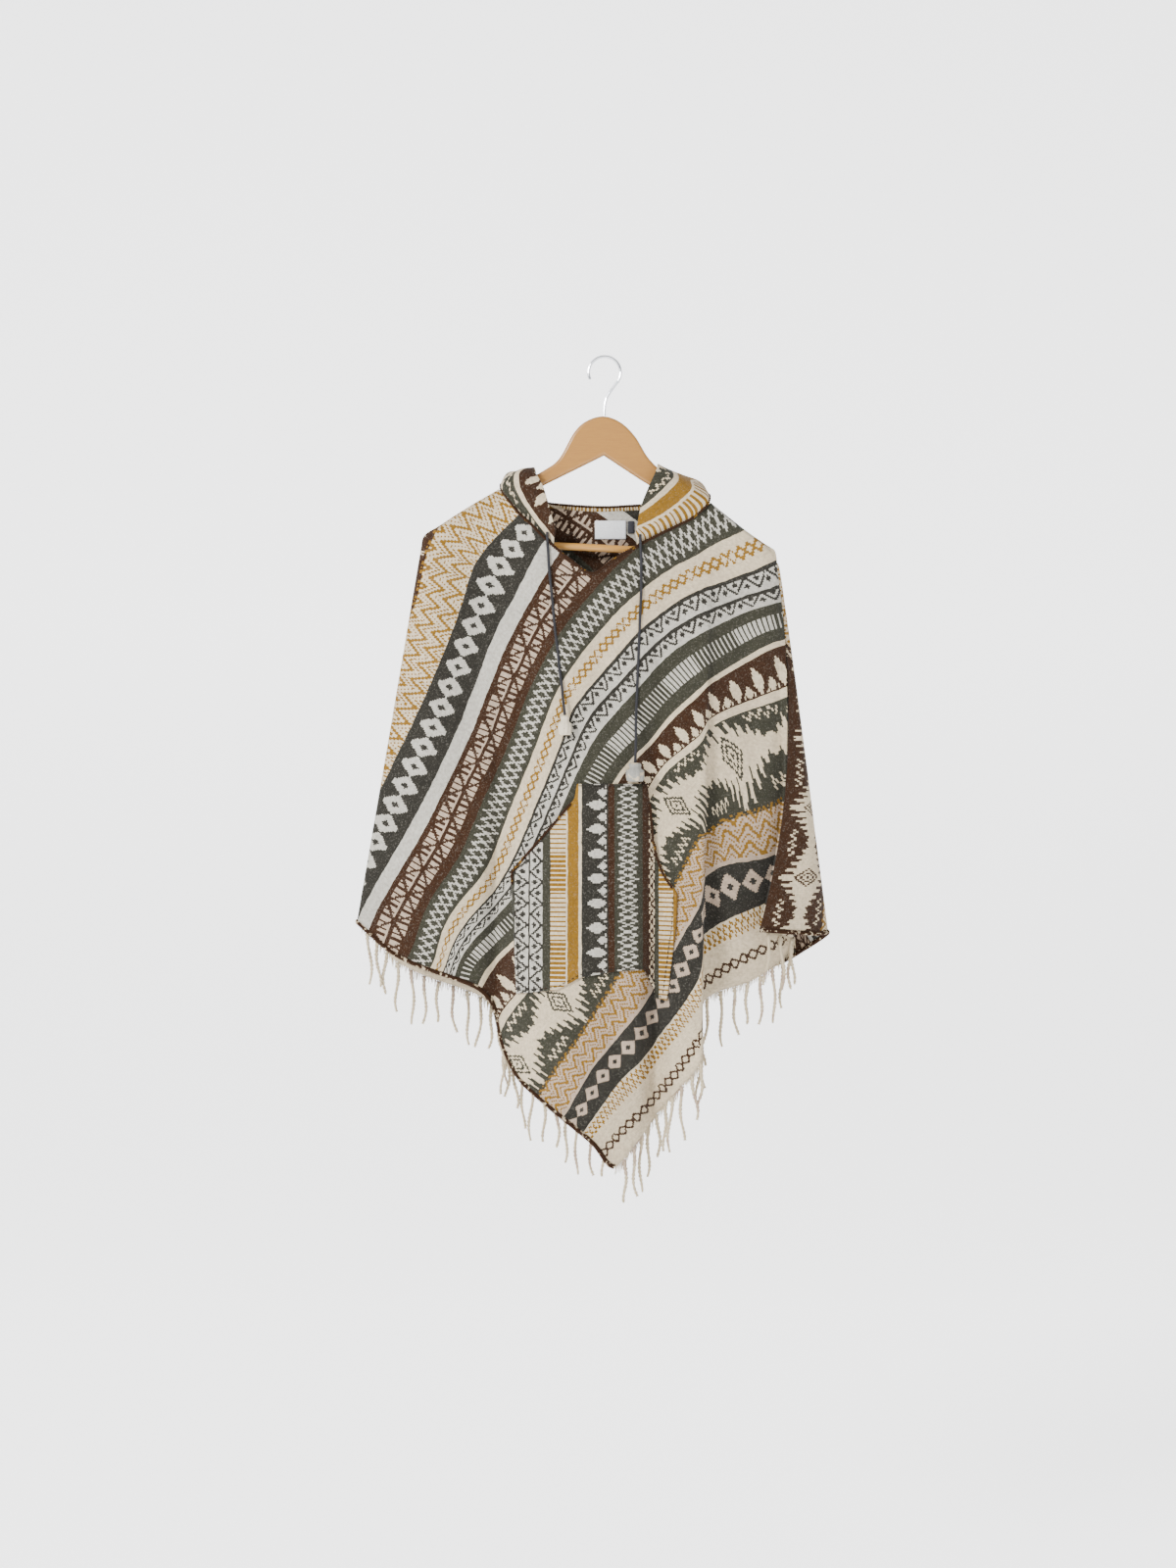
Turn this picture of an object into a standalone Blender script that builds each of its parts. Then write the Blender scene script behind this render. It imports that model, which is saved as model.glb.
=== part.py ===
"""A hooded blanket poncho on a wooden clothes hanger.

The frame is the hook's: the origin is the underside of the top of the hook, X runs to
the wearer's left as seen from the front, -Y is the front and +Z is up. Every size below
is in millimetres and becomes metres when a mesh is made.
"""

import math

import bmesh
import bpy
import numpy as np
from mathutils import Vector
from mathutils.bvhtree import BVHTree

MM = 0.001

# Cloth sizes
WALL = 2.0
SEAM_GAP = 0.6
RIDGE_RADIUS = 10.0
RIDGE_GAP = 1.6
FOLD_GROWTH = 1.25
HEM_STEP = 24.0
BODY_LEVELS = 11
RIDGE_LEVELS = 4
EDGE_STEP = 5.0
SHARPEST_SEAM = math.radians(24)
CORNER_EASE = 1.5

# Hanger sizes
ARM_WIDTH = 11.0
ARM_ROUNDING = 4.0
ARM_CLEARANCE = 3.8
BAR_RADIUS = 4.6
HOOK_RADIUS = 20.0
HOOK_WIRE = 1.8
HOOK_STEM = ((-0.5, 0, -72.2), (-0.3, 0, -66), (0.3, 0, -58), (2.2, 0, -50), (6.4, 0, -43), (11.6, 0, -36))
HOOK_ROUND = (-32, 205, 22)

# Where rays start that find the cloth: well in front of it, and inside the neck
IN_FRONT = -400.0
IN_NECK = -5.0

# Pocket, label, cord and fringe sizes
POCKET_LIFT = 4.3
POCKET_SEWN = 2.9
POCKET_COLUMNS = 24
POCKET_ROWS = 16
LABEL_WALL = 0.8
CORD_RADIUS = 1.7
CORD_GAP = 0.6
STRIP_HEIGHT = 3.0
STRAND_WIDTH = 3.4
STRAND_LENGTH = 56.0
STRAND_PITCH = 19.0
STRAND_JOINTS = 3
STRAND_LEAN = 4.0
HEM_GAP = 1.2
FRONT_POINT = (11.0, -992.0)
BACK_POINT = (8.0, -984.0)
LABEL_SIDES = (-12.0, 27.0)
LABEL_ENDS = (-224.0, -201.0)
TAB_SIDES = (29.0, 37.0)
TAB_ENDS = (-217.0, -202.0)
LABEL_LIFT = 2.0

# Cord ends: length, half width at the cord and at the foot, then the shares of both along the end
LEFT_END = (24.0, 5.5, 8.5)
RIGHT_END = (23.0, 8.0, 11.5)
END_SHOULDER = 0.35
END_FOOT = 0.7
END_LIP = 0.86

# Ridge over the hanger's arms: x across, z up
RIDGE_LINE = (
    (-227.0, -226.0),
    (-207.0, -211.0),
    (-177.0, -191.0),
    (-134.0, -166.0),
    (-100.0, -150.0),
)
RIDGE_LINE_RIGHT = (
    (100.0, -160.0),
    (135.0, -184.0),
    (174.0, -215.0),
    (199.0, -232.5),
    (212.0, -242.0),
)

# Falls of the front panel over the arms, from the back left seam round to the right:
# name, x on the ridge, how far over the ridge it starts (degrees), hem x, y, z
FRONT_LEFT_RIDGE = (
    ("left flank", -207.0, 90.0, -264.0, -22.0, -738.0),
    ("left sweep", -190.0, 90.0, -228.0, -32.0, -755.0),
    ("left broad", -166.0, 90.0, -192.0, -38.0, -767.0),
    ("left inner", -144.0, 90.0, -160.0, -40.0, -779.0),
    ("left corner behind", -139.0, 45.0, -146.0, -36.0, -790.0),
    ("left corner top", -134.0, 0.0, -137.0, -31.0, -803.0),
    ("left corner front", -129.0, -50.0, -132.0, -33.0, -824.0),
)
FRONT_RIGHT_RIDGE = (
    ("right corner front", 129.0, -50.0, 117.0, -88.0, -846.0),
    ("right corner top", 134.0, 0.0, 116.0, -74.0, -824.0),
    ("right corner behind", 139.0, 45.0, 113.0, -60.0, -808.0),
    ("right inner", 145.0, 90.0, 120.0, -48.0, -797.0),
    ("right broad", 159.0, 90.0, 140.0, -41.0, -785.0),
    ("right sweep", 176.0, 90.0, 163.0, -35.0, -779.0),
    ("right flank", 189.0, 90.0, 187.0, -25.0, -770.0),
    ("right side fold", 199.0, 90.0, 212.0, -13.0, -754.0),
)

# Falls from the front neckline: name, neck x, y, z, hem x, y, z
FRONT_NECK = (
    ("neck left high", -111.0, -14.0, -191.0, -124.0, -42.0, -855.0),
    ("neck left", -92.0, -17.0, -209.0, -106.0, -64.0, -888.0),
    ("neck left low", -69.0, -21.0, -232.0, -78.0, -86.0, -913.0),
    ("neck slope", -44.0, -24.0, -253.0, -46.0, -98.0, -938.0),
    ("neck point", -16.0, -26.0, -271.0, -14.0, -103.0, -964.0),
    ("hem point", 8.0, -25.0, -256.0, 11.0, -102.0, -992.0),
    ("neck right low", 34.0, -22.0, -240.0, 40.0, -93.0, -961.0),
    ("pocket valley", 60.0, -19.0, -226.0, 62.0, -64.0, -934.0),
    ("neck right", 86.0, -16.0, -213.0, 86.0, -90.0, -903.0),
    ("front fold", 111.0, -13.0, -200.0, 114.0, -97.0, -870.0),
)

# Falls of the back panel from behind the arms and from the back neckline
BACK_RIGHT_RIDGE = (
    ("back right flank", 186.0, 252.0, 28.0, -737.0),
    ("back right sweep", 172.0, 222.0, 37.0, -755.0),
    ("back right broad", 157.0, 186.0, 43.0, -767.0),
    ("back right inner", 141.0, 151.0, 47.0, -782.0),
)
BACK_NECK = (
    ("back right valley", 121.0, 11.0, -195.0, 124.0, 41.0, -802.0),
    ("back right edge", 100.0, 13.0, -192.0, 110.0, 54.0, -845.0),
    ("back right fold", 76.0, 15.0, -190.0, 92.0, 78.0, -890.0),
    ("back right neck", 48.0, 17.0, -188.0, 60.0, 92.0, -920.0),
    ("back centre right", 20.0, 18.0, -189.0, 28.0, 98.0, -952.0),
    ("back point", -4.0, 18.0, -190.0, 8.0, 98.0, -984.0),
    ("back centre left", -28.0, 18.0, -189.0, -36.0, 92.0, -960.0),
    ("back left neck", -52.0, 17.0, -187.0, -66.0, 76.0, -938.0),
    ("back left fold", -76.0, 15.0, -185.0, -97.0, 84.0, -912.0),
    ("back left edge", -99.0, 13.0, -183.0, -119.0, 84.0, -886.0),
    ("back left return", -121.0, 11.0, -181.0, -127.0, 58.0, -844.0),
)
BACK_LEFT_RIDGE = (
    ("back left inner", -141.0, -140.0, 45.0, -815.0),
    ("back left broad", -158.0, -158.0, 40.0, -797.0),
    ("back left sweep", -174.0, -191.0, 37.0, -784.0),
    ("back left flank", -190.0, -227.0, 32.0, -771.0),
    ("back left side", -203.0, -262.0, 25.0, -752.0),
)

# Falls that round a shoulder tip: x, y, z behind it, on top and where the fall starts,
# the hem, and how far the fall bows across and in depth
TIP_FALLS = {
    "left seam": (
        (-211, 10, -225.6), (-216, 5, -222), (-225, 6, -244), (-303, 9, -705), 0, 0
    ),
    "left side": (
        (-208.4, 10, -223), (-218, -2, -218), (-228, -2, -240), (-307, -1, -703), 0, 0
    ),
    "left inside": (
        (-207.5, 10, -225.2), (-208, 11, -233), (-210, 12, -245), (-287, 18, -724), 0, 0
    ),
    "right valley": (
        (200.1, 10, -243.8), (208, -2.4, -238.3), (212, -5, -259), (228, -4, -738), 0, 0
    ),
    "right return": (
        (200.9, 10, -244.5), (209.3, -0.5, -239.5), (213.8, -1.5, -261), (233, -15, -722), 0, 0
    ),
    "right seam": (
        (205, 10, -247.6), (209, 4, -242), (214, 3, -262), (186, -51, -709), 26, 6
    ),
    "strip front": (
        (200.4, 10.4, -248.8), (206.5, 9.5, -252), (217, 5, -266), (226, -47, -712), 14, 6
    ),
    "strip turn": (
        (199, 10, -245.8), (206, 10, -250), (218, 9, -266), (262, -28, -715), 6, 0
    ),
    "right side": (
        (195.5, 10, -242.4), (201, 11, -252), (216, 13, -268), (277, 0, -716), 0, 0
    ),
}

# Ribs of the hood, from its front left end round the back to its front right end:
# name, then x, y, z where it is sewn on, of its inner layer, lowest fold, outer layer and free edge
HOOD_RIBS = (
    (
        "left end",
        (-62, -17.5, -247), (-63, -18.5, -237), (-63, -21, -230), (-62, -23, -223), (-61, -24, -217),
    ),
    (
        "left front",
        (-94, -12, -209), (-95, -13.5, -199), (-93, -20, -184), (-86, -23, -173), (-75, -22, -166),
    ),
    (
        "left arm front",
        (-118, -8.5, -169), (-119, -10, -163), (-118, -15, -155), (-105, -18, -147), (-87, -17, -144),
    ),
    (
        "left arm top",
        (-123, 0, -156), (-121, 0, -151), (-114, 0, -145), (-102, 0, -139), (-87, 0, -137),
    ),
    (
        "left arm back",
        (-120, 11, -169), (-127, 18, -160), (-124, 28, -151), (-108, 32, -147), (-86, 26, -144),
    ),
    (
        "back left",
        (-98, 17.5, -176), (-116, 28, -214), (-120, 50, -262), (-114, 64, -214), (-92, 46, -166),
    ),
    (
        "back mid left",
        (-56, 20.5, -181), (-70, 32, -250), (-70, 58, -335), (-66, 84, -262), (-50, 66, -180),
    ),
    (
        "back centre",
        (-2, 21.5, -184), (-2, 36, -285), (-2, 64, -385), (-2, 94, -295), (-2, 76, -190),
    ),
    (
        "back mid right",
        (50, 20.5, -182), (66, 33, -252), (70, 58, -338), (66, 84, -265), (48, 66, -182),
    ),
    (
        "back right",
        (96, 17.5, -185), (114, 28, -222), (118, 50, -268), (112, 64, -220), (88, 46, -172),
    ),
    (
        "right arm back",
        (121, 11, -183), (128, 18, -177), (124, 28, -166), (104, 32, -156), (70, 26, -142),
    ),
    (
        "right arm top",
        (124, 0, -169), (121, 0, -164), (110, 0, -155), (91, 0, -144), (66, 0, -133),
    ),
    (
        "right arm front",
        (119, -8.5, -182), (119, -10, -176), (113, -16, -172), (92, -19, -158), (64, -17, -141),
    ),
    (
        "right front",
        (88, -12, -216), (88, -13.5, -207), (80, -20, -195), (64, -23, -188), (46, -22, -184),
    ),
    (
        "right end",
        (40, -17.5, -242), (40, -18.5, -235), (40, -21, -230), (39, -23, -226), (38, -24, -221),
    ),
)

# Outline of the hanger: x on the ridge, then the bare middle, x and z, and the under side
ARM_LEFT_X = (-205.0, -177.0, -134.0, -100.0)
ARM_MIDDLE = (
    (-77.0, -141.0),
    (-57.0, -126.0),
    (-38.0, -93.0),
    (-22.0, -78.5),
    (-1.0, -73.0),
    (20.0, -80.5),
    (38.0, -98.0),
    (54.0, -124.0),
    (72.0, -142.0),
)
ARM_RIGHT_X = (100.0, 135.0, 174.0, 197.0)
ARM_UNDER = (
    (196.0, -254.0),
    (182.0, -258.0),
    (168.5, -256.0),
    (168.5, -236.0),
    (150.0, -221.0),
    (100.0, -186.0),
    (43.0, -151.0),
    (-1.0, -122.0),
    (-74.0, -158.0),
    (-120.0, -184.0),
    (-160.0, -206.0),
    (-176.0, -217.0),
    (-176.0, -237.0),
    (-190.0, -240.0),
    (-203.0, -236.0),
)
BAR_LEFT = (-175.6, -228.2)
BAR_RIGHT = (168.1, -246.0)

# Pocket in front view: z with the left and right edges there
POCKET_SIDES = (
    (-531.0, -34.0, 50.0),
    (-551.0, -37.0, 53.0),
    (-600.0, -78.0, 57.0),
    (-640.0, -112.0, 76.0),
    (-662.0, -112.0, 90.0),
    (-700.0, -110.0, 88.0),
    (-787.0, -106.0, 78.0),
)
# Pocket's lower edge: x with z there
POCKET_HEM = (
    (-112.0, -788.0),
    (-57.0, -781.0),
    (-30.0, -766.0),
    (13.0, -759.0),
    (46.0, -757.0),
    (62.0, -792.0),
    (90.0, -797.0),
)
POCKET_TOP = -531.0
POCKET_FOOT = -790.0

# Drawcord routes, x, y, z, and the sizes of the ends
LEFT_CORD = (
    (-71, -24.0, -219),
    (-71, -24.4, -231),
    (-70, -24.5, -244),
    (-69, -25.2, -262),
    (-67, -26.5, -282),
    (-65, -27.8, -302),
    (-63, -29.3, -323),
    (-61, -31.1, -344),
    (-58, -33.2, -366),
    (-56, -35.4, -388),
    (-53, -38.9, -410),
    (-51, -45.6, -430),
    (-49, -48.7, -446),
)
RIGHT_CORD = (
    (44, -26.0, -222),
    (44, -25.2, -233),
    (45, -24.4, -250),
    (45, -25.1, -270),
    (45, -26.0, -292),
    (44, -27.3, -314),
    (43, -28.8, -337),
    (42, -30.5, -361),
    (41, -32.6, -385),
    (40, -34.7, -409),
    (39, -37.4, -433),
    (38, -44.0, -457),
    (38, -52.0, -481),
    (37, -55.5, -504),
)
CORD_STEPS = 3

# Colours, roughness and metallic value of each piece
FINISHES = {
    "wood": ((0.60, 0.32, 0.10), 0.45, 0.0),
    "steel": ((0.55, 0.56, 0.58), 0.25, 1.0),
    "cloth": ((0.22, 0.19, 0.15), 0.95, 0.0),
    "cream": ((0.72, 0.65, 0.55), 0.95, 0.0),
    "label": ((0.85, 0.85, 0.83), 0.6, 0.0),
    "black": ((0.01, 0.01, 0.012), 0.7, 0.0),
}


def clear_scene():
    for thing in list(bpy.data.objects):
        bpy.data.objects.remove(thing)


def finish(name, kind):
    colour, roughness, metallic = FINISHES[kind]
    made = bpy.data.materials.new(name)
    made.use_nodes = True
    shader = made.node_tree.nodes["Principled BSDF"]
    shader.inputs["Base Color"].default_value = (*colour, 1.0)
    shader.inputs["Roughness"].default_value = roughness
    shader.inputs["Metallic"].default_value = metallic
    return made


def place(name, mesh, kind, home):
    thing = bpy.data.objects.new(name, mesh)
    home.objects.link(thing)
    thing.data.materials.append(finish(name, kind))
    return thing


def through(knots, place_on):
    """The point at place_on, counted in knots, of a smooth curve through the knots."""
    knots = np.asarray(knots, float)
    last = len(knots) - 1
    start = int(min(max(math.floor(place_on), 0), last - 1))
    part = place_on - start
    here, there = knots[start], knots[start + 1]
    before = knots[start - 1] if start else 2 * here - there
    after = knots[start + 2] if start + 2 <= last else 2 * there - here
    return 0.5 * (
        2 * here
        + (there - before) * part
        + (2 * before - 5 * here + 4 * there - after) * part**2
        + (3 * here - before - 3 * there + after) * part**3
    )


def ridge_height(x):
    line = RIDGE_LINE if x < 0 else RIDGE_LINE_RIGHT
    return float(np.interp(x, [p[0] for p in line], [p[1] for p in line]))


def ridge_start(x, behind):
    """The first points of a fall that comes over the hanger's arm."""
    top = ridge_height(x)
    turns = np.linspace(math.radians(behind), -math.pi / 2, RIDGE_LEVELS + 1)
    lift = RIDGE_RADIUS * (1 - np.cos(turns))
    return [(x, RIDGE_RADIUS * math.sin(t), top - drop) for t, drop in zip(turns, lift)]


def straight_start(x, y, z):
    """The first points of a fall that starts at an edge."""
    return [(x, y, z - EDGE_STEP * k) for k in range(RIDGE_LEVELS + 1)]


def tip_start(behind, top, start):
    """The first points of a fall that rounds a shoulder tip."""
    behind, top, start = (np.array(p, float) for p in (behind, top, start))
    points = []
    for k in range(RIDGE_LEVELS + 1):
        turn = math.pi * k / RIDGE_LEVELS
        if turn <= math.pi / 2:
            flat, rise = 1 - math.cos(turn), math.sin(turn)
            base, goal = behind, top
        else:
            flat, rise = math.sin(turn - math.pi / 2), 1 - math.cos(turn - math.pi / 2)
            base, goal = top, start
        shares = np.array([flat, flat, rise])
        points.append(base + (goal - base) * shares)
    return points


def fall(start, hem, bow_x=0.0, bow_y=0.0):
    """All points of one fall line, from its first points down to the hem."""
    top = np.array(start[-1], float)
    hem = np.array(hem, float)
    points = [np.array(p, float) for p in start]
    for level in range(1, BODY_LEVELS + 1):
        share = level / BODY_LEVELS
        bulge = 4 * share * (1 - share)
        point = top + (hem - top) * share
        point[0] += bow_x * bulge
        point[1] = top[1] + (hem[1] - top[1]) * share**FOLD_GROWTH + bow_y * bulge
        points.append(point)
    return points


def tip_fall(name):
    behind, top, start, hem, bow_x, bow_y = TIP_FALLS[name]
    return fall(tip_start(behind, top, start), hem, bow_x, bow_y)


def behind_start(x):
    """The first points of a back fall, just under the front panel's edge."""
    return straight_start(x, RIDGE_RADIUS, ridge_height(x) - RIDGE_RADIUS - RIDGE_GAP)


def front_falls():
    falls = [tip_fall("left seam"), tip_fall("left side")]
    falls += [fall(ridge_start(x, turn), hem) for _, x, turn, *hem in FRONT_LEFT_RIDGE]
    falls += [fall(straight_start(x, y, z), hem) for _, x, y, z, *hem in FRONT_NECK]
    falls += [fall(ridge_start(x, turn), hem) for _, x, turn, *hem in FRONT_RIGHT_RIDGE]
    return falls + [tip_fall(name) for name in ("right valley", "right return", "right seam")]


def back_falls():
    falls = [tip_fall(name) for name in ("right seam", "strip front", "strip turn", "right side")]
    falls += [fall(behind_start(x), hem) for _, x, *hem in BACK_RIGHT_RIDGE]
    falls += [fall(straight_start(x, y, z), hem) for _, x, y, z, *hem in BACK_NECK]
    falls += [fall(behind_start(x), hem) for _, x, *hem in BACK_LEFT_RIDGE]
    return falls + [tip_fall("left inside"), tip_fall("left seam")]


def panel_grid(falls):
    """Columns of points round a panel, closer together where the hem runs far."""
    places = [0.0]
    for index in range(len(falls) - 1):
        run = np.linalg.norm(falls[index + 1][-1] - falls[index][-1])
        steps = max(1, round(run / HEM_STEP))
        places += [index + (k + 1) / steps for k in range(steps)]
    levels = range(len(falls[0]))
    tracks = [np.array([line[level] for line in falls]) for level in levels]
    grid = np.array([[through(track, place_on) for track in tracks] for place_on in places])
    return grid


def open_seam(one, one_edge, other, other_edge):
    """Draws two panels back from the seam they share, so that their walls just clear."""
    ways = []
    for grid, edge in ((one, one_edge), (other, other_edge)):
        inner = 1 if edge == 0 else -2
        way = grid[inner] - grid[edge]
        ways.append(way / np.linalg.norm(way, axis=1, keepdims=True))
    between = np.arccos(np.clip((ways[0] * ways[1]).sum(axis=1), -1.0, 1.0))
    between = np.maximum(between, SHARPEST_SEAM)
    back_off = SEAM_GAP / 2 + WALL / 2 / np.tan(between / 2)
    one[one_edge] += ways[0] * back_off[:, None]
    other[other_edge] += ways[1] * back_off[:, None]


def sheet_mesh(name, grid):
    """An open surface of quads from columns of points."""
    columns, rows = grid.shape[:2]
    shape = bmesh.new()
    corners = [[shape.verts.new(Vector(p) * MM) for p in column] for column in grid]
    for i in range(columns - 1):
        for j in range(rows - 1):
            shape.faces.new(
                (corners[i][j], corners[i][j + 1], corners[i + 1][j + 1], corners[i + 1][j])
            )
    mesh = bpy.data.meshes.new(name)
    shape.to_mesh(mesh)
    shape.free()
    mesh.shade_smooth()
    return mesh


def cloth(name, grid, kind, home, wall=WALL):
    thing = place(name, sheet_mesh(name, grid), kind, home)
    thicken = thing.modifiers.new("wall", "SOLIDIFY")
    thicken.thickness = wall * MM
    thicken.offset = 0.0
    return thing


def hood_grid():
    """Ribs of the hood, each a smooth curve through its five points."""
    ribs = []
    for _, *points in HOOD_RIBS:
        ribs.append([through(points, k / 2) for k in range(2 * len(points) - 1)])
    ribs = np.array(ribs)
    places = np.linspace(0, len(ribs) - 1, 2 * len(ribs) - 1)
    return np.array([[through(ribs[:, k], at) for k in range(ribs.shape[1])] for at in places])


def surface_tree(grid):
    columns, rows = grid.shape[:2]
    points = [Vector(p) for p in grid.reshape(-1, 3)]
    faces = []
    for i in range(columns - 1):
        for j in range(rows - 1):
            corner = i * rows + j
            faces.append((corner, corner + 1, corner + rows + 1, corner + rows))
    return BVHTree.FromPolygons(points, faces)


def on_front(tree, x, z, lift):
    """The point in front of the cloth at x, z, lifted off along the cloth's normal."""
    hit, normal, _, _ = tree.ray_cast(Vector((x, IN_FRONT, z)), Vector((0, 1, 0)))
    if normal.y > 0:
        normal = -normal
    return hit + normal * lift


def pocket_grid(tree):
    heights = [row[0] for row in POCKET_SIDES][::-1]
    lefts = [row[1] for row in POCKET_SIDES][::-1]
    rights = [row[2] for row in POCKET_SIDES][::-1]
    columns = []
    for i in range(POCKET_COLUMNS + 1):
        across = i / POCKET_COLUMNS
        column = []
        for j in range(POCKET_ROWS + 1):
            down = j / POCKET_ROWS
            z = POCKET_TOP + (POCKET_FOOT - POCKET_TOP) * down
            left = np.interp(z, heights, lefts)
            right = np.interp(z, heights, rights)
            x = left + (right - left) * across
            low = np.interp(x, [p[0] for p in POCKET_HEM], [p[1] for p in POCKET_HEM])
            z = POCKET_TOP + (low - POCKET_TOP) * down
            inward = min(across, 1 - across, 1 - down, down) * POCKET_ROWS
            lift = POCKET_SEWN + (POCKET_LIFT - POCKET_SEWN) * min(inward, 1)
            column.append(on_front(tree, x, z, lift))
        columns.append(column)
    return np.array(columns)


def label_grid(tree, left, right, low, high, lift):
    """A small patch inside the back neck."""
    columns = []
    for x in np.linspace(left, right, 5):
        column = []
        for z in np.linspace(high, low, 4):
            hit, normal, _, _ = tree.ray_cast(Vector((x, IN_NECK, z)), Vector((0, 1, 0)))
            column.append(hit + (normal if normal.y < 0 else -normal) * lift)
        columns.append(column)
    return np.array(columns)


def tube(name, points, radius, kind, home, resolution=2):
    path = bpy.data.curves.new(name, "CURVE")
    path.dimensions = "3D"
    line = path.splines.new("POLY")
    line.points.add(len(points) - 1)
    for knot, point in zip(line.points, points):
        knot.co = (*(Vector(point) * MM), 1.0)
    path.bevel_depth = radius * MM
    path.bevel_resolution = resolution
    path.use_fill_caps = True
    return place(name, path, kind, home)


def hanger(home):
    outline = bpy.data.curves.new("hanger_body", "CURVE")
    outline.dimensions = "2D"
    outline.fill_mode = "BOTH"
    line = outline.splines.new("POLY")
    left = [(x, ridge_height(x) - ARM_CLEARANCE) for x in ARM_LEFT_X]
    right = [(x, ridge_height(x) - ARM_CLEARANCE) for x in ARM_RIGHT_X]
    points = [*left, *ARM_MIDDLE, *right, *ARM_UNDER]
    line.points.add(len(points) - 1)
    for knot, (x, z) in zip(line.points, points):
        knot.co = (x * MM, z * MM, 0.0, 1.0)
    line.use_cyclic_u = True
    outline.extrude = ARM_WIDTH / 2 * MM
    flat = place("hanger_flat", outline, "wood", home)
    flat.rotation_euler = (math.pi / 2, 0, 0)
    bpy.context.view_layer.update()
    graph = bpy.context.evaluated_depsgraph_get()
    mesh = bpy.data.meshes.new_from_object(flat.evaluated_get(graph))
    mesh.transform(flat.matrix_world)
    shape = bmesh.new()
    shape.from_mesh(mesh)
    bmesh.ops.remove_doubles(shape, verts=shape.verts, dist=0.01 * MM)
    bmesh.ops.recalc_face_normals(shape, faces=shape.faces)
    shape.to_mesh(mesh)
    shape.free()
    bpy.data.objects.remove(flat)
    wood = place("hanger_body", mesh, "wood", home)
    rounding = wood.modifiers.new("rounded edges", "BEVEL")
    rounding.width = ARM_ROUNDING * MM
    rounding.segments = 2
    rounding.limit_method = "ANGLE"
    rounding.angle_limit = math.radians(60)
    wood.data.shade_smooth()

    left = Vector((BAR_LEFT[0], 0, BAR_LEFT[1]))
    right = Vector((BAR_RIGHT[0], 0, BAR_RIGHT[1]))
    bar = tube("hanger_bar", (left, right), BAR_RADIUS, "wood", home, resolution=4)
    return wood, bar


def hook(home):
    """A question-mark hook: a stem, a lean to the right and round over the top."""
    middle = HOOK_WIRE - HOOK_RADIUS
    points = list(HOOK_STEM)
    for turn in np.linspace(*HOOK_ROUND):
        angle = math.radians(turn)
        points.append((HOOK_RADIUS * math.cos(angle), 0, middle + HOOK_RADIUS * math.sin(angle)))
    return tube("hanger_hook", points, HOOK_WIRE, "steel", home)


def smooth_route(route):
    count = (len(route) - 1) * CORD_STEPS
    return [through(route, k / CORD_STEPS) for k in range(count + 1)]


def cord_end(name, route, length, waist, foot, kind, home):
    """A small wrapped cloth end, a turned shape hung below the cord."""
    profile = bmesh.new()
    steps = (
        (0.0, 0.0),
        (waist, 0.0),
        (waist, -END_SHOULDER),
        (foot, -END_FOOT),
        (foot * END_LIP, -1.0),
        (0.0, -1.0),
    )
    knots = [profile.verts.new((r * MM, 0, z * length * MM)) for r, z in steps]
    for one, two in zip(knots, knots[1:]):
        profile.edges.new((one, two))
    mesh = bpy.data.meshes.new(name)
    profile.to_mesh(mesh)
    profile.free()
    thing = place(name, mesh, kind, home)
    spin = thing.modifiers.new("turned", "SCREW")
    spin.steps = 10
    spin.render_steps = 10
    spin.use_merge_vertices = True
    spin.merge_threshold = 0.00005
    end = Vector(route[-1])
    thing.location = (end + Vector((0, 0, -CORD_GAP))) * MM
    return thing


def hem_frames(grid):
    """Along a hem: its points, the way out of the cloth and the cloth's normal."""
    hem = grid[:, -1]
    along = np.gradient(hem, axis=0)
    along /= np.linalg.norm(along, axis=1, keepdims=True)
    down = hem - grid[:, -2]
    out = down - (down * along).sum(axis=1, keepdims=True) * along
    out /= np.linalg.norm(out, axis=1, keepdims=True)
    normal = np.cross(along, out)
    return hem, along, out, normal


def strand_places(run):
    """Where each strand starts and stops along a hem of this length."""
    count = int(run // STRAND_PITCH)
    spare = (run - count * STRAND_PITCH) / 2
    middles = [spare + STRAND_PITCH * (k + 0.5) for k in range(count)]
    return [(m - STRAND_WIDTH / 2, m + STRAND_WIDTH / 2) for m in middles]


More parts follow.
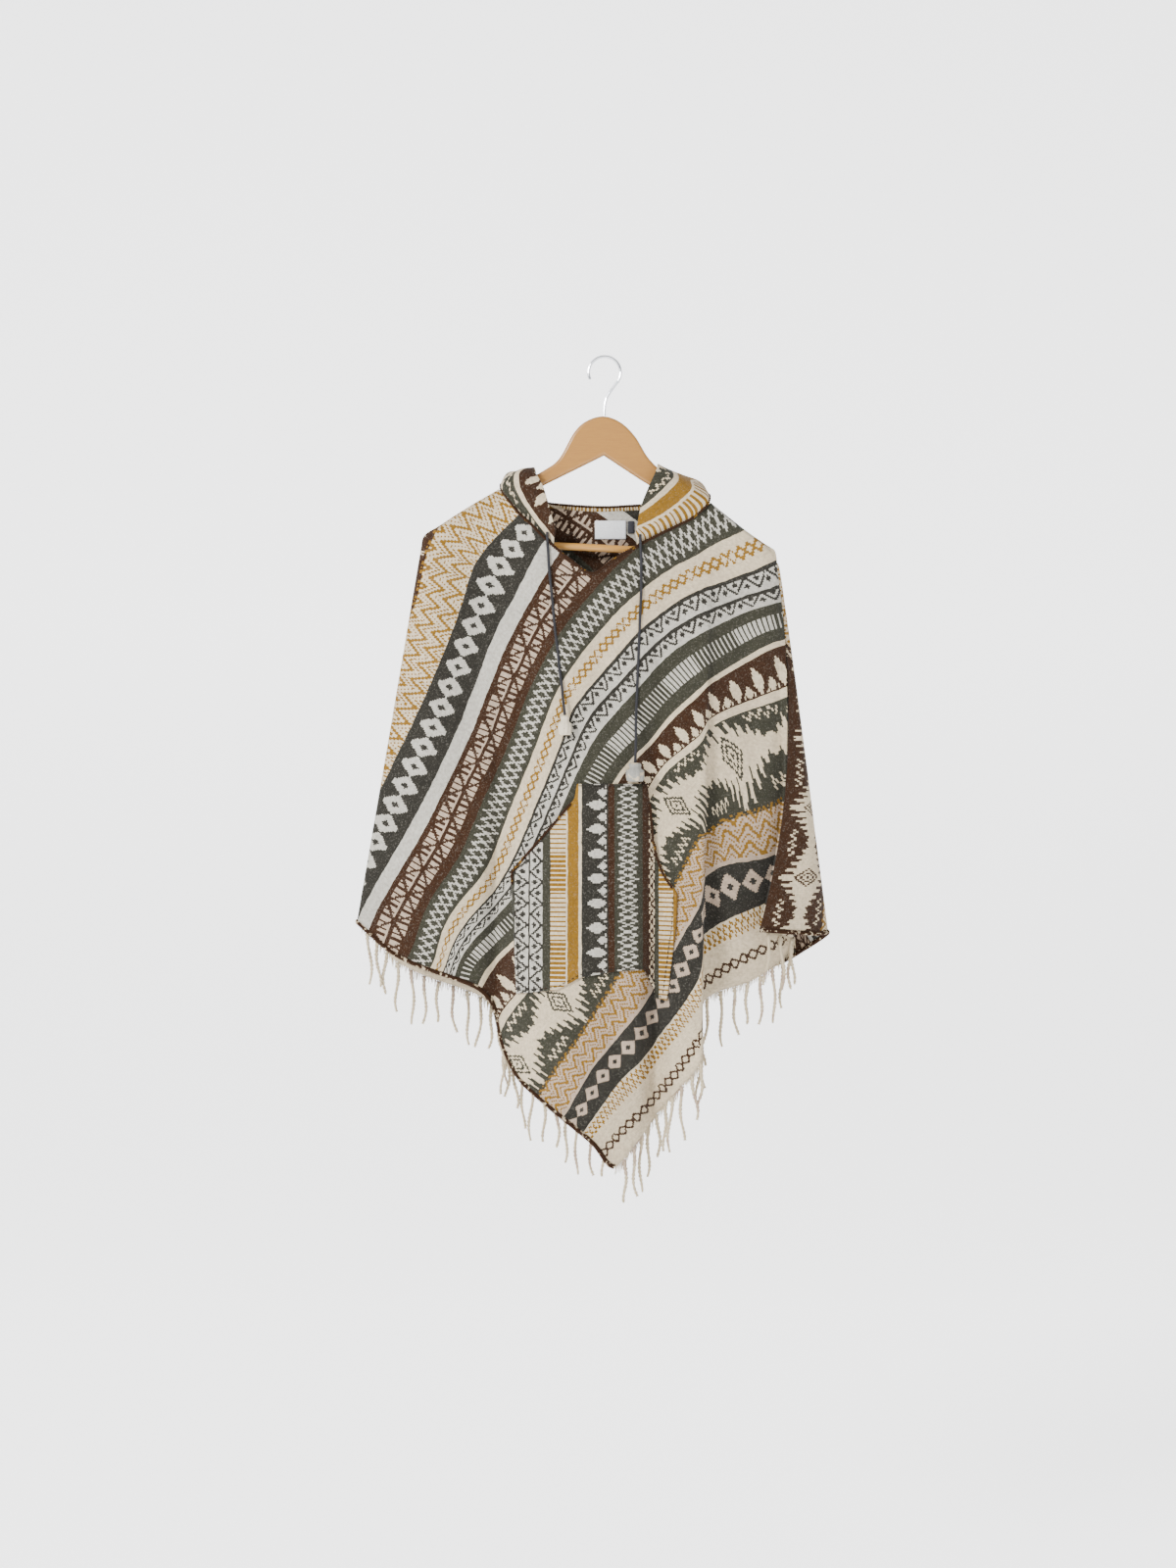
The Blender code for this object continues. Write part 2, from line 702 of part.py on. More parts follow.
def fringe(name, grid, home):
    """A narrow strip below the hem with twisted ends that hang from it."""
    hem, along, out, normal = hem_frames(grid)
    runs = np.concatenate([[0], np.cumsum(np.linalg.norm(np.diff(hem, axis=0), axis=1))])
    strands = strand_places(runs[-1])
    marks = sorted([1.0, runs[-1] - 1.0] + [mark for strand in strands for mark in strand])
    spares = [run for run in runs[1:-1] if min(abs(run - mark) for mark in marks) > 1.0]
    inside = [run for run in spares if not any(a < run < b for a, b in strands)]
    marks = sorted(marks + inside)

    def at(run, table):
        return np.array([np.interp(run, runs, table[:, axis]) for axis in range(3)])

    shape = bmesh.new()
    rings = []
    for run in marks:
        base = at(run, hem) + at(run, out) * HEM_GAP
        low = base + at(run, out) * STRIP_HEIGHT
        side = at(run, normal) * WALL / 2
        corners = (base - side, base + side, low + side, low - side)
        rings.append([shape.verts.new(Vector(p) * MM) for p in corners])
    shape.faces.new(rings[0])
    shape.faces.new(rings[-1][::-1])
    rooted = {round(a, 4) for a, _ in strands}
    number = 0
    for mark, ring, following in zip(marks, rings, rings[1:]):
        for side in (0, 1, 3):
            turn = (side + 1) % 4
            shape.faces.new((ring[side], following[side], following[turn], ring[turn]))
        root = (ring[2], following[2], following[3], ring[3])
        if round(mark, 4) in rooted:
            grow_strand(shape, root, at(mark, along), number)
            number += 1
        else:
            shape.faces.new(root)
    bmesh.ops.recalc_face_normals(shape, faces=shape.faces)
    mesh = bpy.data.meshes.new(name)
    shape.to_mesh(mesh)
    shape.free()
    return place(name, mesh, "cream", home)


def grow_strand(shape, root, along, number):
    """One twisted end: four sides down from its root, with its own length and lean."""
    middle = sum((knot.co for knot in root), Vector()) / 4
    flat = Vector((along[0], along[1], 0))
    flat = flat.normalized() if flat.length > 0.2 else Vector((1, 0, 0))
    across = Vector((-flat.y, flat.x, 0))
    first = root[0].co - middle
    if first.dot(across) < 0:
        across = -across
    if (root[1].co - root[0].co).dot(flat) < 0:
        flat = -flat
    length = STRAND_LENGTH * (0.86 + 0.28 * math.sin(2.4 * number) ** 2)
    lean = STRAND_LEAN * math.sin(1.7 * number + 0.6)
    ring = root
    for joint in range(1, STRAND_JOINTS + 1):
        share = joint / STRAND_JOINTS
        bend = lean * (share + 0.35 * math.sin(2.6 * share * math.pi + number))
        centre = middle + Vector((0, 0, -length * share * MM)) + flat * bend * MM
        half = STRAND_WIDTH / 2 * (1 - 0.35 * share) * MM
        corners = (
            centre - flat * half + across * half * 0.7,
            centre + flat * half + across * half * 0.7,
            centre + flat * half - across * half * 0.7,
            centre - flat * half - across * half * 0.7,
        )
        following = [shape.verts.new(p) for p in corners]
        for side in range(4):
            turn = (side + 1) % 4
            shape.faces.new((ring[side], ring[turn], following[turn], following[side]))
        ring = following
    shape.faces.new(ring)


def nearest_column(grid, x, z):
    hem = grid[:, -1]
    return int(np.argmin((hem[:, 0] - x) ** 2 + (hem[:, 2] - z) ** 2))


def build():
    clear_scene()
    home = bpy.data.collections.new("blanket_poncho")
    bpy.context.scene.collection.children.link(home)
    hanger(home)
    hook(home)

    front = panel_grid(front_falls())
    back = panel_grid(back_falls())
    open_seam(front, -1, back, 0)
    open_seam(front, 0, back, -1)
    back[0, :2, 2] -= CORNER_EASE
    cloth("front_panel", front, "cloth", home)
    cloth("back_panel", back, "cloth", home)
    cloth("hood", hood_grid(), "cloth", home)
    front_tree = surface_tree(front)
    cloth("pocket", pocket_grid(front_tree), "cloth", home)
    back_tree = surface_tree(back)
    label = label_grid(back_tree, *LABEL_SIDES, *LABEL_ENDS, LABEL_LIFT)
    cloth("neck_label", label, "label", home, LABEL_WALL)
    tab = label_grid(back_tree, *TAB_SIDES, *TAB_ENDS, LABEL_LIFT)
    cloth("size_tab", tab, "black", home, LABEL_WALL)

    fringe("front_fringe", front[nearest_column(front, *FRONT_POINT):], home)
    fringe("back_fringe", back[nearest_column(back, *BACK_POINT):], home)

    for side, route, end in (("left", LEFT_CORD, LEFT_END), ("right", RIGHT_CORD, RIGHT_END)):
        tube(f"drawcord_{side}", smooth_route(route), CORD_RADIUS, "black", home)
        cord_end(f"cord_end_{side}", route, *end, "cream", home)


build()
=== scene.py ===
# %% [markdown]
# A blanket poncho hangs on a wooden clothes hanger. The solids underneath are plain, so this lesson
# lays thin cloth over their form, weaves the bands with shader maths, and hangs on the fringe, cords,
# label and sewn edges. The frame gives the sizes, and everything is placed in its coordinates, in metres.

import math

import bpy
import numpy as np
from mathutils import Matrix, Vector
from mathutils.bvhtree import BVHTree

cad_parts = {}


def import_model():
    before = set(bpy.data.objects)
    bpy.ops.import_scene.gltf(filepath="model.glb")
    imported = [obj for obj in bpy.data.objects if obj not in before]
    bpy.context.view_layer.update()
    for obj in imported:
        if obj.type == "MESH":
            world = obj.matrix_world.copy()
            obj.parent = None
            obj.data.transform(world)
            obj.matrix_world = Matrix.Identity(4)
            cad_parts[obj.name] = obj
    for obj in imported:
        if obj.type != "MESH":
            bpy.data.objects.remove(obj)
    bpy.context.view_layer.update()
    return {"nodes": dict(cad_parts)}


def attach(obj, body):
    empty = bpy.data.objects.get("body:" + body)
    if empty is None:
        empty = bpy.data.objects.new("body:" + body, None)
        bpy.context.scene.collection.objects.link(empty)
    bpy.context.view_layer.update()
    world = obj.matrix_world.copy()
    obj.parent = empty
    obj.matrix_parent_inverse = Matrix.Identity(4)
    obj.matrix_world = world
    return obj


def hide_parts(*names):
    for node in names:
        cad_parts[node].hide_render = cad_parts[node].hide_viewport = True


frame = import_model()
print("solids:", sorted(frame["nodes"]))

# %% [markdown]
# The photograph is taken level with the middle of the garment, from about three metres away. A camera
# could be fitted to a few known points; here its aim comes straight from the scale of the picture.

# %% Camera
MM = 0.001
PIXEL = 1.22
MIDDLE_PIXEL = (617.0, 380.0)
HOOK_DROP = 18.2

view = bpy.data.cameras.new("view")
view.lens = 59.0
camera = bpy.data.objects.new("view", view)
camera.location = (-0.0207, -3.2, -0.5306)
camera.rotation_euler = (math.pi / 2, 0, 0)
bpy.context.scene.collection.objects.link(camera)
bpy.context.scene.camera = camera
print("camera", tuple(camera.location))

# %% [markdown]
# Two black drawcords leave the hood's front ends and hang down the chest, each with a little cloth
# bell. A cord could be simulated, but it hangs nearly straight, so a smooth curve through a few points
# on the cloth is enough. The routes are those of the solids.

# %% Smooth curves and the two cords
LEFT_CORD = (
    (-71, -24.0, -219), (-71, -24.4, -231), (-70, -24.5, -244), (-69, -25.2, -262), (-67, -26.5, -282),
    (-65, -27.8, -302), (-63, -29.3, -323), (-61, -31.1, -344), (-58, -33.2, -366), (-56, -35.4, -388),
    (-53, -38.9, -410), (-51, -45.6, -430), (-49, -48.7, -446),
)
RIGHT_CORD = (
    (44, -26.0, -222), (44, -25.2, -233), (45, -24.4, -250), (45, -25.1, -270), (45, -26.0, -292),
    (44, -27.3, -314), (43, -28.8, -337), (42, -30.5, -361), (41, -32.6, -385), (40, -34.7, -409),
    (39, -37.4, -433), (38, -44.0, -457), (38, -52.0, -481), (37, -55.5, -504),
)
CORD_RADIUS = 1.7
CORD_GAP = 0.6
CORD_STEPS = 4


def through(knots, places):
    """Points at the places, counted in knots, of a smooth curve or surface through the knots."""
    knots = np.asarray(knots, float)
    places = np.atleast_1d(np.asarray(places, float))
    ends = [2 * knots[:1] - knots[1:2], knots, 2 * knots[-1:] - knots[-2:-1]]
    padded = np.concatenate(ends)
    start = np.clip(np.floor(places).astype(int), 0, len(knots) - 2)
    part = (places - start).reshape(-1, *[1] * (knots.ndim - 1))
    before, here, there, after = (padded[start + k] for k in range(4))
    return 0.5 * (
        2 * here
        + (there - before) * part
        + (2 * before - 5 * here + 4 * there - after) * part**2
        + (3 * here - before - 3 * there + after) * part**3
    )


def place(name, data):
    """A new piece of the scene that rides on the garment."""
    thing = bpy.data.objects.new(name, data)
    bpy.context.scene.collection.objects.link(thing)
    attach(thing, "root")
    return thing


def run_of(points, axis=0):
    """The length along points, up to each of them, or along the columns or rows of a grid."""
    run = np.cumsum(np.linalg.norm(np.diff(points, axis=axis), axis=-1), axis=axis)
    return np.concatenate([np.zeros_like(run.take([0], axis=axis)), run], axis=axis)


def finer(knots, steps):
    """A smooth line or surface through the knots, with so many steps from each to the next."""
    return through(knots, np.linspace(0, len(knots) - 1, steps * (len(knots) - 1) + 1))


def hang_cord(name, knots):
    """A round cord through the knots, turned into a mesh, and the points of its path."""
    points = finer(knots, CORD_STEPS) * MM
    path = bpy.data.curves.new(name, "CURVE")
    path.dimensions = "3D"
    line = path.splines.new("POLY")
    line.points.add(len(points) - 1)
    for knot, point in zip(line.points, points):
        knot.co = (*point, 1.0)
    path.bevel_depth = CORD_RADIUS * MM
    path.bevel_resolution = 3
    path.use_fill_caps = True
    curve = place(name, path)
    bpy.context.view_layer.update()
    graph = bpy.context.evaluated_depsgraph_get()
    mesh = bpy.data.meshes.new_from_object(curve.evaluated_get(graph))
    bpy.data.objects.remove(curve)
    mesh.shade_smooth()
    return place(name, mesh), points


cords = {}
for side, knots in (("left", LEFT_CORD), ("right", RIGHT_CORD)):
    cord, points = hang_cord(f"cord_{side}", knots)
    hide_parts(f"drawcord_{side}")
    cords[side] = (cord, points)
    print(side, "cord", round(float(run_of(points)[-1]), 3), "m")

# %% [markdown]
# Each panel hangs in folds from the shoulders. A cloth simulation could drop it, but its folds would
# land where they like. Here every fold line, or fall, runs from the shoulder or neckline to the hem,
# and a smooth surface is drawn through the falls, so each fold lies where the real one does.

# %% Falls of the two panels
WALL = 2.0
SEAM_GAP = 0.6
RIDGE_RADIUS = 10.0
RIDGE_GAP = 1.6
FOLD_GROWTH = 1.25
BODY_LEVELS = 11
RIDGE_LEVELS = 4
EDGE_STEP = 5.0
SHARPEST_SEAM = math.radians(24)
CORNER_EASE = 1.5
RIDGE_LINE = (
    (-227, -226), (-207, -211), (-177, -191), (-134, -166), (-100, -150),
)
RIDGE_LINE_RIGHT = (
    (100, -160), (135, -184), (174, -215), (199, -232.5), (212, -242),
)
FRONT_LEFT_RIDGE = (
    # x on the arm, degrees that it starts behind the top, and the hem's x, y, z
    (-207, 90, -264, -22, -738), (-190, 90, -228, -32, -755), (-166, 90, -192, -38, -767),
    (-144, 90, -160, -40, -779), (-139, 45, -146, -36, -790), (-134, 0, -137, -31, -803),
    (-129, -50, -132, -33, -824),
)
FRONT_RIGHT_RIDGE = (
    (129, -50, 117, -88, -846), (134, 0, 116, -74, -824), (139, 45, 113, -60, -808),
    (145, 90, 120, -48, -797), (159, 90, 140, -41, -785), (176, 90, 163, -35, -779),
    (189, 90, 187, -25, -770), (199, 90, 212, -13, -754),
)
FRONT_NECK = (
    # x, y, z at the neckline and at the hem
    (-111, -14, -191, -124, -42, -855), (-92, -17, -209, -106, -64, -888),
    (-69, -21, -232, -78, -86, -913), (-44, -24, -253, -46, -98, -938),
    (-16, -26, -271, -14, -103, -964), (8, -25, -256, 11, -102, -992), (34, -22, -240, 40, -93, -961),
    (60, -19, -226, 62, -64, -934), (86, -16, -213, 86, -90, -903), (111, -13, -200, 114, -97, -870),
)
BACK_RIGHT_RIDGE = (
    # x on the arm, and the hem's x, y, z
    (186, 252, 28, -737), (172, 222, 37, -755), (157, 186, 43, -767), (141, 151, 47, -782),
)
BACK_NECK = (
    (121, 11, -195, 124, 41, -802), (100, 13, -192, 110, 54, -845), (76, 15, -190, 92, 78, -890),
    (48, 17, -188, 60, 92, -920), (20, 18, -189, 28, 98, -952), (-4, 18, -190, 8, 98, -984),
    (-28, 18, -189, -36, 92, -960), (-52, 17, -187, -66, 76, -938), (-76, 15, -185, -97, 84, -912),
    (-99, 13, -183, -119, 84, -886), (-121, 11, -181, -127, 58, -844),
)
BACK_LEFT_RIDGE = (
    (-141, -140, 45, -815), (-158, -158, 40, -797), (-174, -191, 37, -784), (-190, -227, 32, -771),
    (-203, -262, 25, -752),
)
TIP_FALLS = {
    # points behind, on top and below, the hem's point, and the bow in x and y
    "left seam": ((-211, 10, -225.6), (-216, 5, -222), (-225, 6, -244), (-303, 9, -705), 0, 0),
    "left side": ((-208.4, 10, -223), (-218, -2, -218), (-228, -2, -240), (-307, -1, -703), 0, 0),
    "left inside": ((-207.5, 10, -225.2), (-208, 11, -233), (-210, 12, -245), (-287, 18, -724), 0, 0),
    "right valley": ((200.1, 10, -243.8), (208, -2.4, -238.3), (212, -5, -259), (228, -4, -738), 0, 0),
    "right return": ((200.9, 10, -244.5), (209.3, -0.5, -239.5), (213.8, -1.5, -261), (233, -15, -722), 0, 0),
    "right seam": ((205, 10, -247.6), (209, 4, -242), (214, 3, -262), (186, -51, -709), 26, 6),
    "strip front": ((200.4, 10.4, -248.8), (206.5, 9.5, -252), (217, 5, -266), (226, -47, -712), 14, 6),
    "strip turn": ((199, 10, -245.8), (206, 10, -250), (218, 9, -266), (262, -28, -715), 6, 0),
    "right side": ((195.5, 10, -242.4), (201, 11, -252), (216, 13, -268), (277, 0, -716), 0, 0),
}


def ridge_height(x):
    line = RIDGE_LINE if x < 0 else RIDGE_LINE_RIGHT
    return float(np.interp(x, [p[0] for p in line], [p[1] for p in line]))


def ridge_start(x, behind):
    """The first points of a fall that comes over the hanger's arm."""
    top = ridge_height(x)
    turns = np.linspace(math.radians(behind), -math.pi / 2, RIDGE_LEVELS + 1)
    lift = RIDGE_RADIUS * (1 - np.cos(turns))
    return [(x, RIDGE_RADIUS * math.sin(t), top - drop) for t, drop in zip(turns, lift)]


def straight_start(x, y, z):
    """The first points of a fall that starts at an edge."""
    return [(x, y, z - EDGE_STEP * k) for k in range(RIDGE_LEVELS + 1)]


def tip_start(behind, top, start):
    """The first points of a fall that rounds a shoulder tip."""
    behind, top, start = (np.array(p, float) for p in (behind, top, start))
    points = []
    for k in range(RIDGE_LEVELS + 1):
        turn = math.pi * k / RIDGE_LEVELS
        if turn <= math.pi / 2:
            flat, rise = 1 - math.cos(turn), math.sin(turn)
            base, goal = behind, top
        else:
            flat, rise = math.sin(turn - math.pi / 2), 1 - math.cos(turn - math.pi / 2)
            base, goal = top, start
        shares = np.array([flat, flat, rise])
        points.append(base + (goal - base) * shares)
    return points


def fall(start, hem, bow_x=0.0, bow_y=0.0):
    """All points of one fall line, from its first points down to the hem."""
    top = np.array(start[-1], float)
    hem = np.array(hem, float)
    points = [np.array(p, float) for p in start]
    for level in range(1, BODY_LEVELS + 1):
        share = level / BODY_LEVELS
        bulge = 4 * share * (1 - share)
        point = top + (hem - top) * share
        point[0] += bow_x * bulge
        point[1] = top[1] + (hem[1] - top[1]) * share**FOLD_GROWTH + bow_y * bulge
        points.append(point)
    return points


def tip_fall(name):
    behind, top, start, hem, bow_x, bow_y = TIP_FALLS[name]
    return fall(tip_start(behind, top, start), hem, bow_x, bow_y)


def behind_start(x):
    """The first points of a back fall, just under the front panel's edge."""
    return straight_start(x, RIDGE_RADIUS, ridge_height(x) - RIDGE_RADIUS - RIDGE_GAP)


def front_falls():
    falls = [tip_fall("left seam"), tip_fall("left side")]
    falls += [fall(ridge_start(x, turn), hem) for x, turn, *hem in FRONT_LEFT_RIDGE]
    falls += [fall(straight_start(x, y, z), hem) for x, y, z, *hem in FRONT_NECK]
    falls += [fall(ridge_start(x, turn), hem) for x, turn, *hem in FRONT_RIGHT_RIDGE]
    return falls + [tip_fall(name) for name in ("right valley", "right return", "right seam")]


def back_falls():
    falls = [tip_fall(name) for name in ("right seam", "strip front", "strip turn", "right side")]
    falls += [fall(behind_start(x), hem) for x, *hem in BACK_RIGHT_RIDGE]
    falls += [fall(straight_start(x, y, z), hem) for x, y, z, *hem in BACK_NECK]
    falls += [fall(behind_start(x), hem) for x, *hem in BACK_LEFT_RIDGE]
    return falls + [tip_fall("left inside"), tip_fall("left seam")]


def open_seam(one, one_edge, other, other_edge):
    """Draws two panels back from the seam they share, so that their walls just clear."""
    ways = []
    for grid, edge in ((one, one_edge), (other, other_edge)):
        inner = 1 if edge == 0 else -2
        way = grid[inner] - grid[edge]
        ways.append(way / np.linalg.norm(way, axis=1, keepdims=True))
    between = np.arccos(np.clip((ways[0] * ways[1]).sum(axis=1), -1.0, 1.0))
    between = np.maximum(between, SHARPEST_SEAM)
    back_off = SEAM_GAP / 2 + WALL / 2 / np.tan(between / 2)
    one[one_edge] += ways[0] * back_off[:, None]
    other[other_edge] += ways[1] * back_off[:, None]


# %% [markdown]
# The falls are only a few dozen lines. Between them the cloth is drawn much finer than the solid:
# first across from fall to fall, then down along each one. Both faces and the rim make a closed shell
# of real thickness, which keeps its colour from inside and outside.

# %% A fine closed shell from a grid of points
HEM_STEP = 7.0
FINE_ROWS = 9


def fine_places(falls):
    places = [0.0]
    for index in range(len(falls) - 1):
        run = np.linalg.norm(falls[index + 1][-1] - falls[index][-1])
        steps = max(2, round(run / HEM_STEP))
        places += [index + (k + 1) / steps for k in range(steps)]
    return np.array(places)


def grid_normals(grid):
    normal = np.cross(np.gradient(grid, axis=0), np.gradient(grid, axis=1))
    length = np.linalg.norm(normal, axis=2, keepdims=True)
    return normal / np.maximum(length, 1e-9)


def quads(corner):
    """The four corners of each face of a grid."""
    a, b, c, d = corner[:-1, :-1], corner[1:, :-1], corner[1:, 1:], corner[:-1, 1:]
    return np.stack([side.ravel() for side in (a, b, c, d)], axis=1)


def shell_faces(columns, rows):
    """The faces of both sides of a grid and of the rim between them."""
    corner = np.arange(columns * rows).reshape(columns, rows)
    outer = quads(corner)
    inner = outer[:, ::-1] + columns * rows
    rim = np.concatenate([corner[:, 0], corner[-1, 1:], corner[-2::-1, -1], corner[0, -2::-1]])
    here, there = rim[:-1], rim[1:]
    edge = np.stack([there, here, here + columns * rows, there + columns * rows], axis=1)
    return np.concatenate([outer, inner, edge])


def shell(name, grid, wall, weave=None):
    """A closed sheet about a grid of points in millimetres, with its weave kept on the points."""
    columns, rows = grid.shape[:2]
    lift = grid_normals(grid) * wall / 2
    points = np.concatenate([(grid + lift).reshape(-1, 3), (grid - lift).reshape(-1, 3)]) * MM
    mesh = bpy.data.meshes.new(name)
    mesh.from_pydata(points.tolist(), [], shell_faces(columns, rows).tolist())
    if weave is not None:
        kept = mesh.attributes.new("weave", "FLOAT_VECTOR", "POINT")
        kept.data.foreach_set("vector", np.concatenate([weave.reshape(-1, 3)] * 2).ravel())
    mesh.shade_smooth()
    thing = place(name, mesh)
    print(name, len(mesh.polygons), "faces")
    return thing


# %% [markdown]
# Big folds come from the falls. The small creases between them are listed one by one: each is a line
# with a width and a depth, and it presses the cloth in or lifts it out like a finger drawn along it.

# %% Listed creases
FRONT_CREASES = (
    # x and z where it starts and ends, width, how far it stands out
    (-190, -235, -235, -560, 16, 3.0),
    (-150, -230, -175, -620, 13, -3.2),
    (-118, -250, -150, -700, 15, 3.4),
    (-85, -300, -112, -640, 12, -2.6),
    (-60, -290, -35, -430, 14, 2.6),
    (-10, -300, 10, -480, 13, -2.2),
    (30, -280, 55, -470, 12, 2.6),
    (70, -270, 80, -500, 14, -3.0),
    (110, -240, 150, -520, 15, 3.2),
    (150, -240, 195, -560, 14, -3.0),
    (-130, -560, -128, -800, 13, -3.4),
    (-150, -620, -205, -735, 15, 3.0),
    (120, -520, 170, -740, 14, 3.2),
    (92, -560, 140, -770, 12, -3.0),
    (-60, -800, -20, -930, 13, 2.8),
    (10, -800, 30, -950, 12, -2.6),
    (60, -700, 62, -880, 10, -3.0),
)
BACK_CREASES = (
    (-200, -250, -240, -600, 16, 3.0),
    (-150, -240, -185, -640, 14, -3.0),
    (-110, -250, -140, -700, 15, 3.4),
    (-60, -260, -70, -600, 14, -2.8),
    (-20, -240, -10, -700, 15, 3.0),
    (40, -250, 60, -680, 14, -3.0),
    (90, -250, 115, -640, 14, 3.2),
    (150, -260, 190, -620, 15, -3.0),
    (-90, -620, -100, -860, 14, -3.2),
    (0, -700, 20, -920, 13, 2.8),
    (70, -640, 80, -860, 13, -3.0),
    (180, -560, 240, -715, 14, 3.0),
)
HEM_EASE = 40.0


def crease_cloth(grid, creases, facing):
    """Moves the cloth along Y, towards facing, under each crease."""
    lift = np.zeros(grid.shape[:2])
    for x0, z0, x1, z1, width, depth in creases:
        way = np.array([x1 - x0, z1 - z0], float)
        length = np.linalg.norm(way)
        offset = grid[:, :, (0, 2)] - np.array([x0, z0])
        along = (offset @ way) / length**2
        apart = (offset[:, :, 0] * way[1] - offset[:, :, 1] * way[0]) / length
        apart = apart + 6 * np.sin(along * 5 + x0)
        fade = np.clip(along * 4, 0, 1) * np.clip((1 - along) * 4, 0, 1)
        fade = fade * fade * (3 - 2 * fade)
        lift += depth * np.exp(-((apart / width) ** 2)) * fade
    edge = np.minimum(run_to_edge(grid, 1), run_to_edge(grid, 0))
    lift *= np.clip(edge / HEM_EASE, 0, 1)
    grid = grid.copy()
    grid[:, :, 1] += facing * lift
    return grid


def run_to_edge(grid, axis):
    """How far each point is from the nearer end of its row or column."""
    run = run_of(grid, axis)
    return np.minimum(run, run.take([-1], axis=axis) - run)


# %% [markdown]
# The bands of the blanket bend over the shoulders: steep on the left, flatter on the right. The
# pattern could be unwrapped as a flat sheet, but the bands are easier to steer by guide points. Each
# says how far into the woven width the cloth is at one place, and a thin plate is bent through them.

# %% Guide points of the bands and the thin plate through them
# Distance in millimetres from the first band's edge: picture x and y of places that have it
GUIDES_ALL = {
    142: ((527, 530), (483, 577), (454, 664), (427, 727), (405, 771)),
    186: ((555, 548), (525, 607), (500, 652), (475, 719), (441, 798), (407, 860), (374, 916)),
    223: ((587, 590), (534, 674), (503, 747), (469, 815), (435, 882), (399, 944)),
    287: (
        (760, 541), (652, 606), (600, 660), (561, 727), (545, 769), (530, 805), (493, 894), (448, 980),
    ),
    319: ((699, 607), (652, 641), (609, 691), (581, 725)),
    357: ((733, 635), (677, 669), (652, 697)),
    415: ((682, 729), (661, 758)),
    392: ((477, 983),),
    440: ((508, 1003),),
}
GUIDES_LEFT = {
    478: ((516, 1028), (532, 1010), (677, 781), (660, 809)),
    567: ((553, 1104), (586, 1058), (627, 992)),
    607: ((579, 1124), (603, 1080), (661, 1010)),
    649: ((601, 1134), (629, 1094), (662, 1063), (704, 1002)),
    694: ((619, 1152), (666, 1109), (709, 1048)),
    730: ((628, 1178), (715, 1078)),
    560: ((681, 900),),
    610: ((690, 960),),
    72: ((431, 556),),
    76: ((423, 610),),
}
GUIDES_RIGHT = {
    319: ((789, 570),),
    357: ((795, 613),),
    415: ((787, 653), (739, 682), (708, 703)),
    478: ((789, 709), (733, 730), (699, 753)),
    567: ((775, 826), (733, 837), (708, 860)),
    607: ((775, 874), (733, 879), (705, 899)),
    649: ((766, 924), (733, 938), (705, 958)),
    694: ((783, 960), (733, 983), (708, 1000)),
    730: ((789, 985), (744, 1008), (712, 1030)),
}
PLATE_SOFTNESS = 4.0


def to_picture(grid):
    """Picture x and y of points in millimetres, seen straight on."""
    x = grid[..., 0] / PIXEL + MIDDLE_PIXEL[0]
    y = (-HOOK_DROP - grid[..., 2]) / PIXEL + MIDDLE_PIXEL[1]
    return np.stack([x, y], axis=-1)


def bend(square):
    return 0.5 * square * np.log(np.maximum(square, 1e-9))


def thin_plate(*tables):
    """The smooth surface nearest to the guides, as a function of picture points."""
    groups = [group for guides in tables for group in guides.items()]
    guides = np.array([(x, y, across) for across, spots in groups for x, y in spots], float)
    at, height = guides[:, :2] / 100, guides[:, 2]
    count = len(guides)
    square = ((at[:, None] - at[None]) ** 2).sum(axis=2)
    flat = np.concatenate([np.ones((count, 1)), at], axis=1)
    system = np.zeros((count + 3, count + 3))
    system[:count, :count] = bend(square) + np.eye(count) * PLATE_SOFTNESS / 100
    system[:count, count:] = flat
    system[count:, :count] = flat.T
    print("guides", count)
    answer = np.linalg.solve(system, np.concatenate([height, np.zeros(3)]))

    def height_at(points):
        here = points / 100
        total = answer[count] + here @ answer[count + 1:]
        for (x, y), weight in zip(at, answer[:count]):
            total = total + weight * bend((here[..., 0] - x) ** 2 + (here[..., 1] - y) ** 2)
        return total

    return height_at


left_plate = thin_plate(GUIDES_ALL, GUIDES_LEFT)
right_plate = thin_plate(GUIDES_ALL, GUIDES_RIGHT)

# %% [markdown]
# Motifs need a second coordinate, along the band. A straight ruler laid between the two slants gives
# one for the whole front, and the lean that a motif then has is measured and taken out in the shader.

# %% Weave coordinates: along the bands, across them, and the lean to take out
ALONG = np.array([-0.6705, 0.8028])
STRETCH_LIMIT = 1.4


def smooth_step(value):
    value = np.clip(value, 0, 1)
    return value * value * (3 - 2 * value)


def weave_of(spots, share):
    """Along, across and lean, from picture points and the share of the right-hand plate."""

    def across_at(points):
        return left_plate(points) * (1 - share) + right_plate(points) * share

    across = across_at(spots)
    ahead_x = across_at(spots + np.array([1.0, 0.0])) - across
    ahead_y = across_at(spots + np.array([0.0, 1.0])) - across
    slope = (ahead_x**2 + ahead_y**2) / PIXEL**2
    lean = -(ahead_x * ALONG[0] + ahead_y * ALONG[1]) / PIXEL / np.maximum(slope, 0.25)
    lean = np.clip(lean, -STRETCH_LIMIT, STRETCH_LIMIT)
    along = spots @ ALONG * PIXEL
    return np.stack([along, across, lean], axis=-1)


# %% [markdown]
# The front panel has its fringe at the lower right. Past its front fold the cloth turns back, so the
# second plate takes over there.

# %% Front panel
RIGHT_TIP_FALLS = 3
FOLD_WIDTH = 1.5

front_lines = [np.array(line) for line in front_falls()]
back_lines = [np.array(line) for line in back_falls()]
front_at = fine_places(front_lines)
back_at = fine_places(back_lines)
front = through(np.array(front_lines), front_at)
back = through(np.array(back_lines), back_at)
open_seam(front, -1, back, 0)
open_seam(front, 0, back, -1)
back[0, :2, 2] -= CORNER_EASE


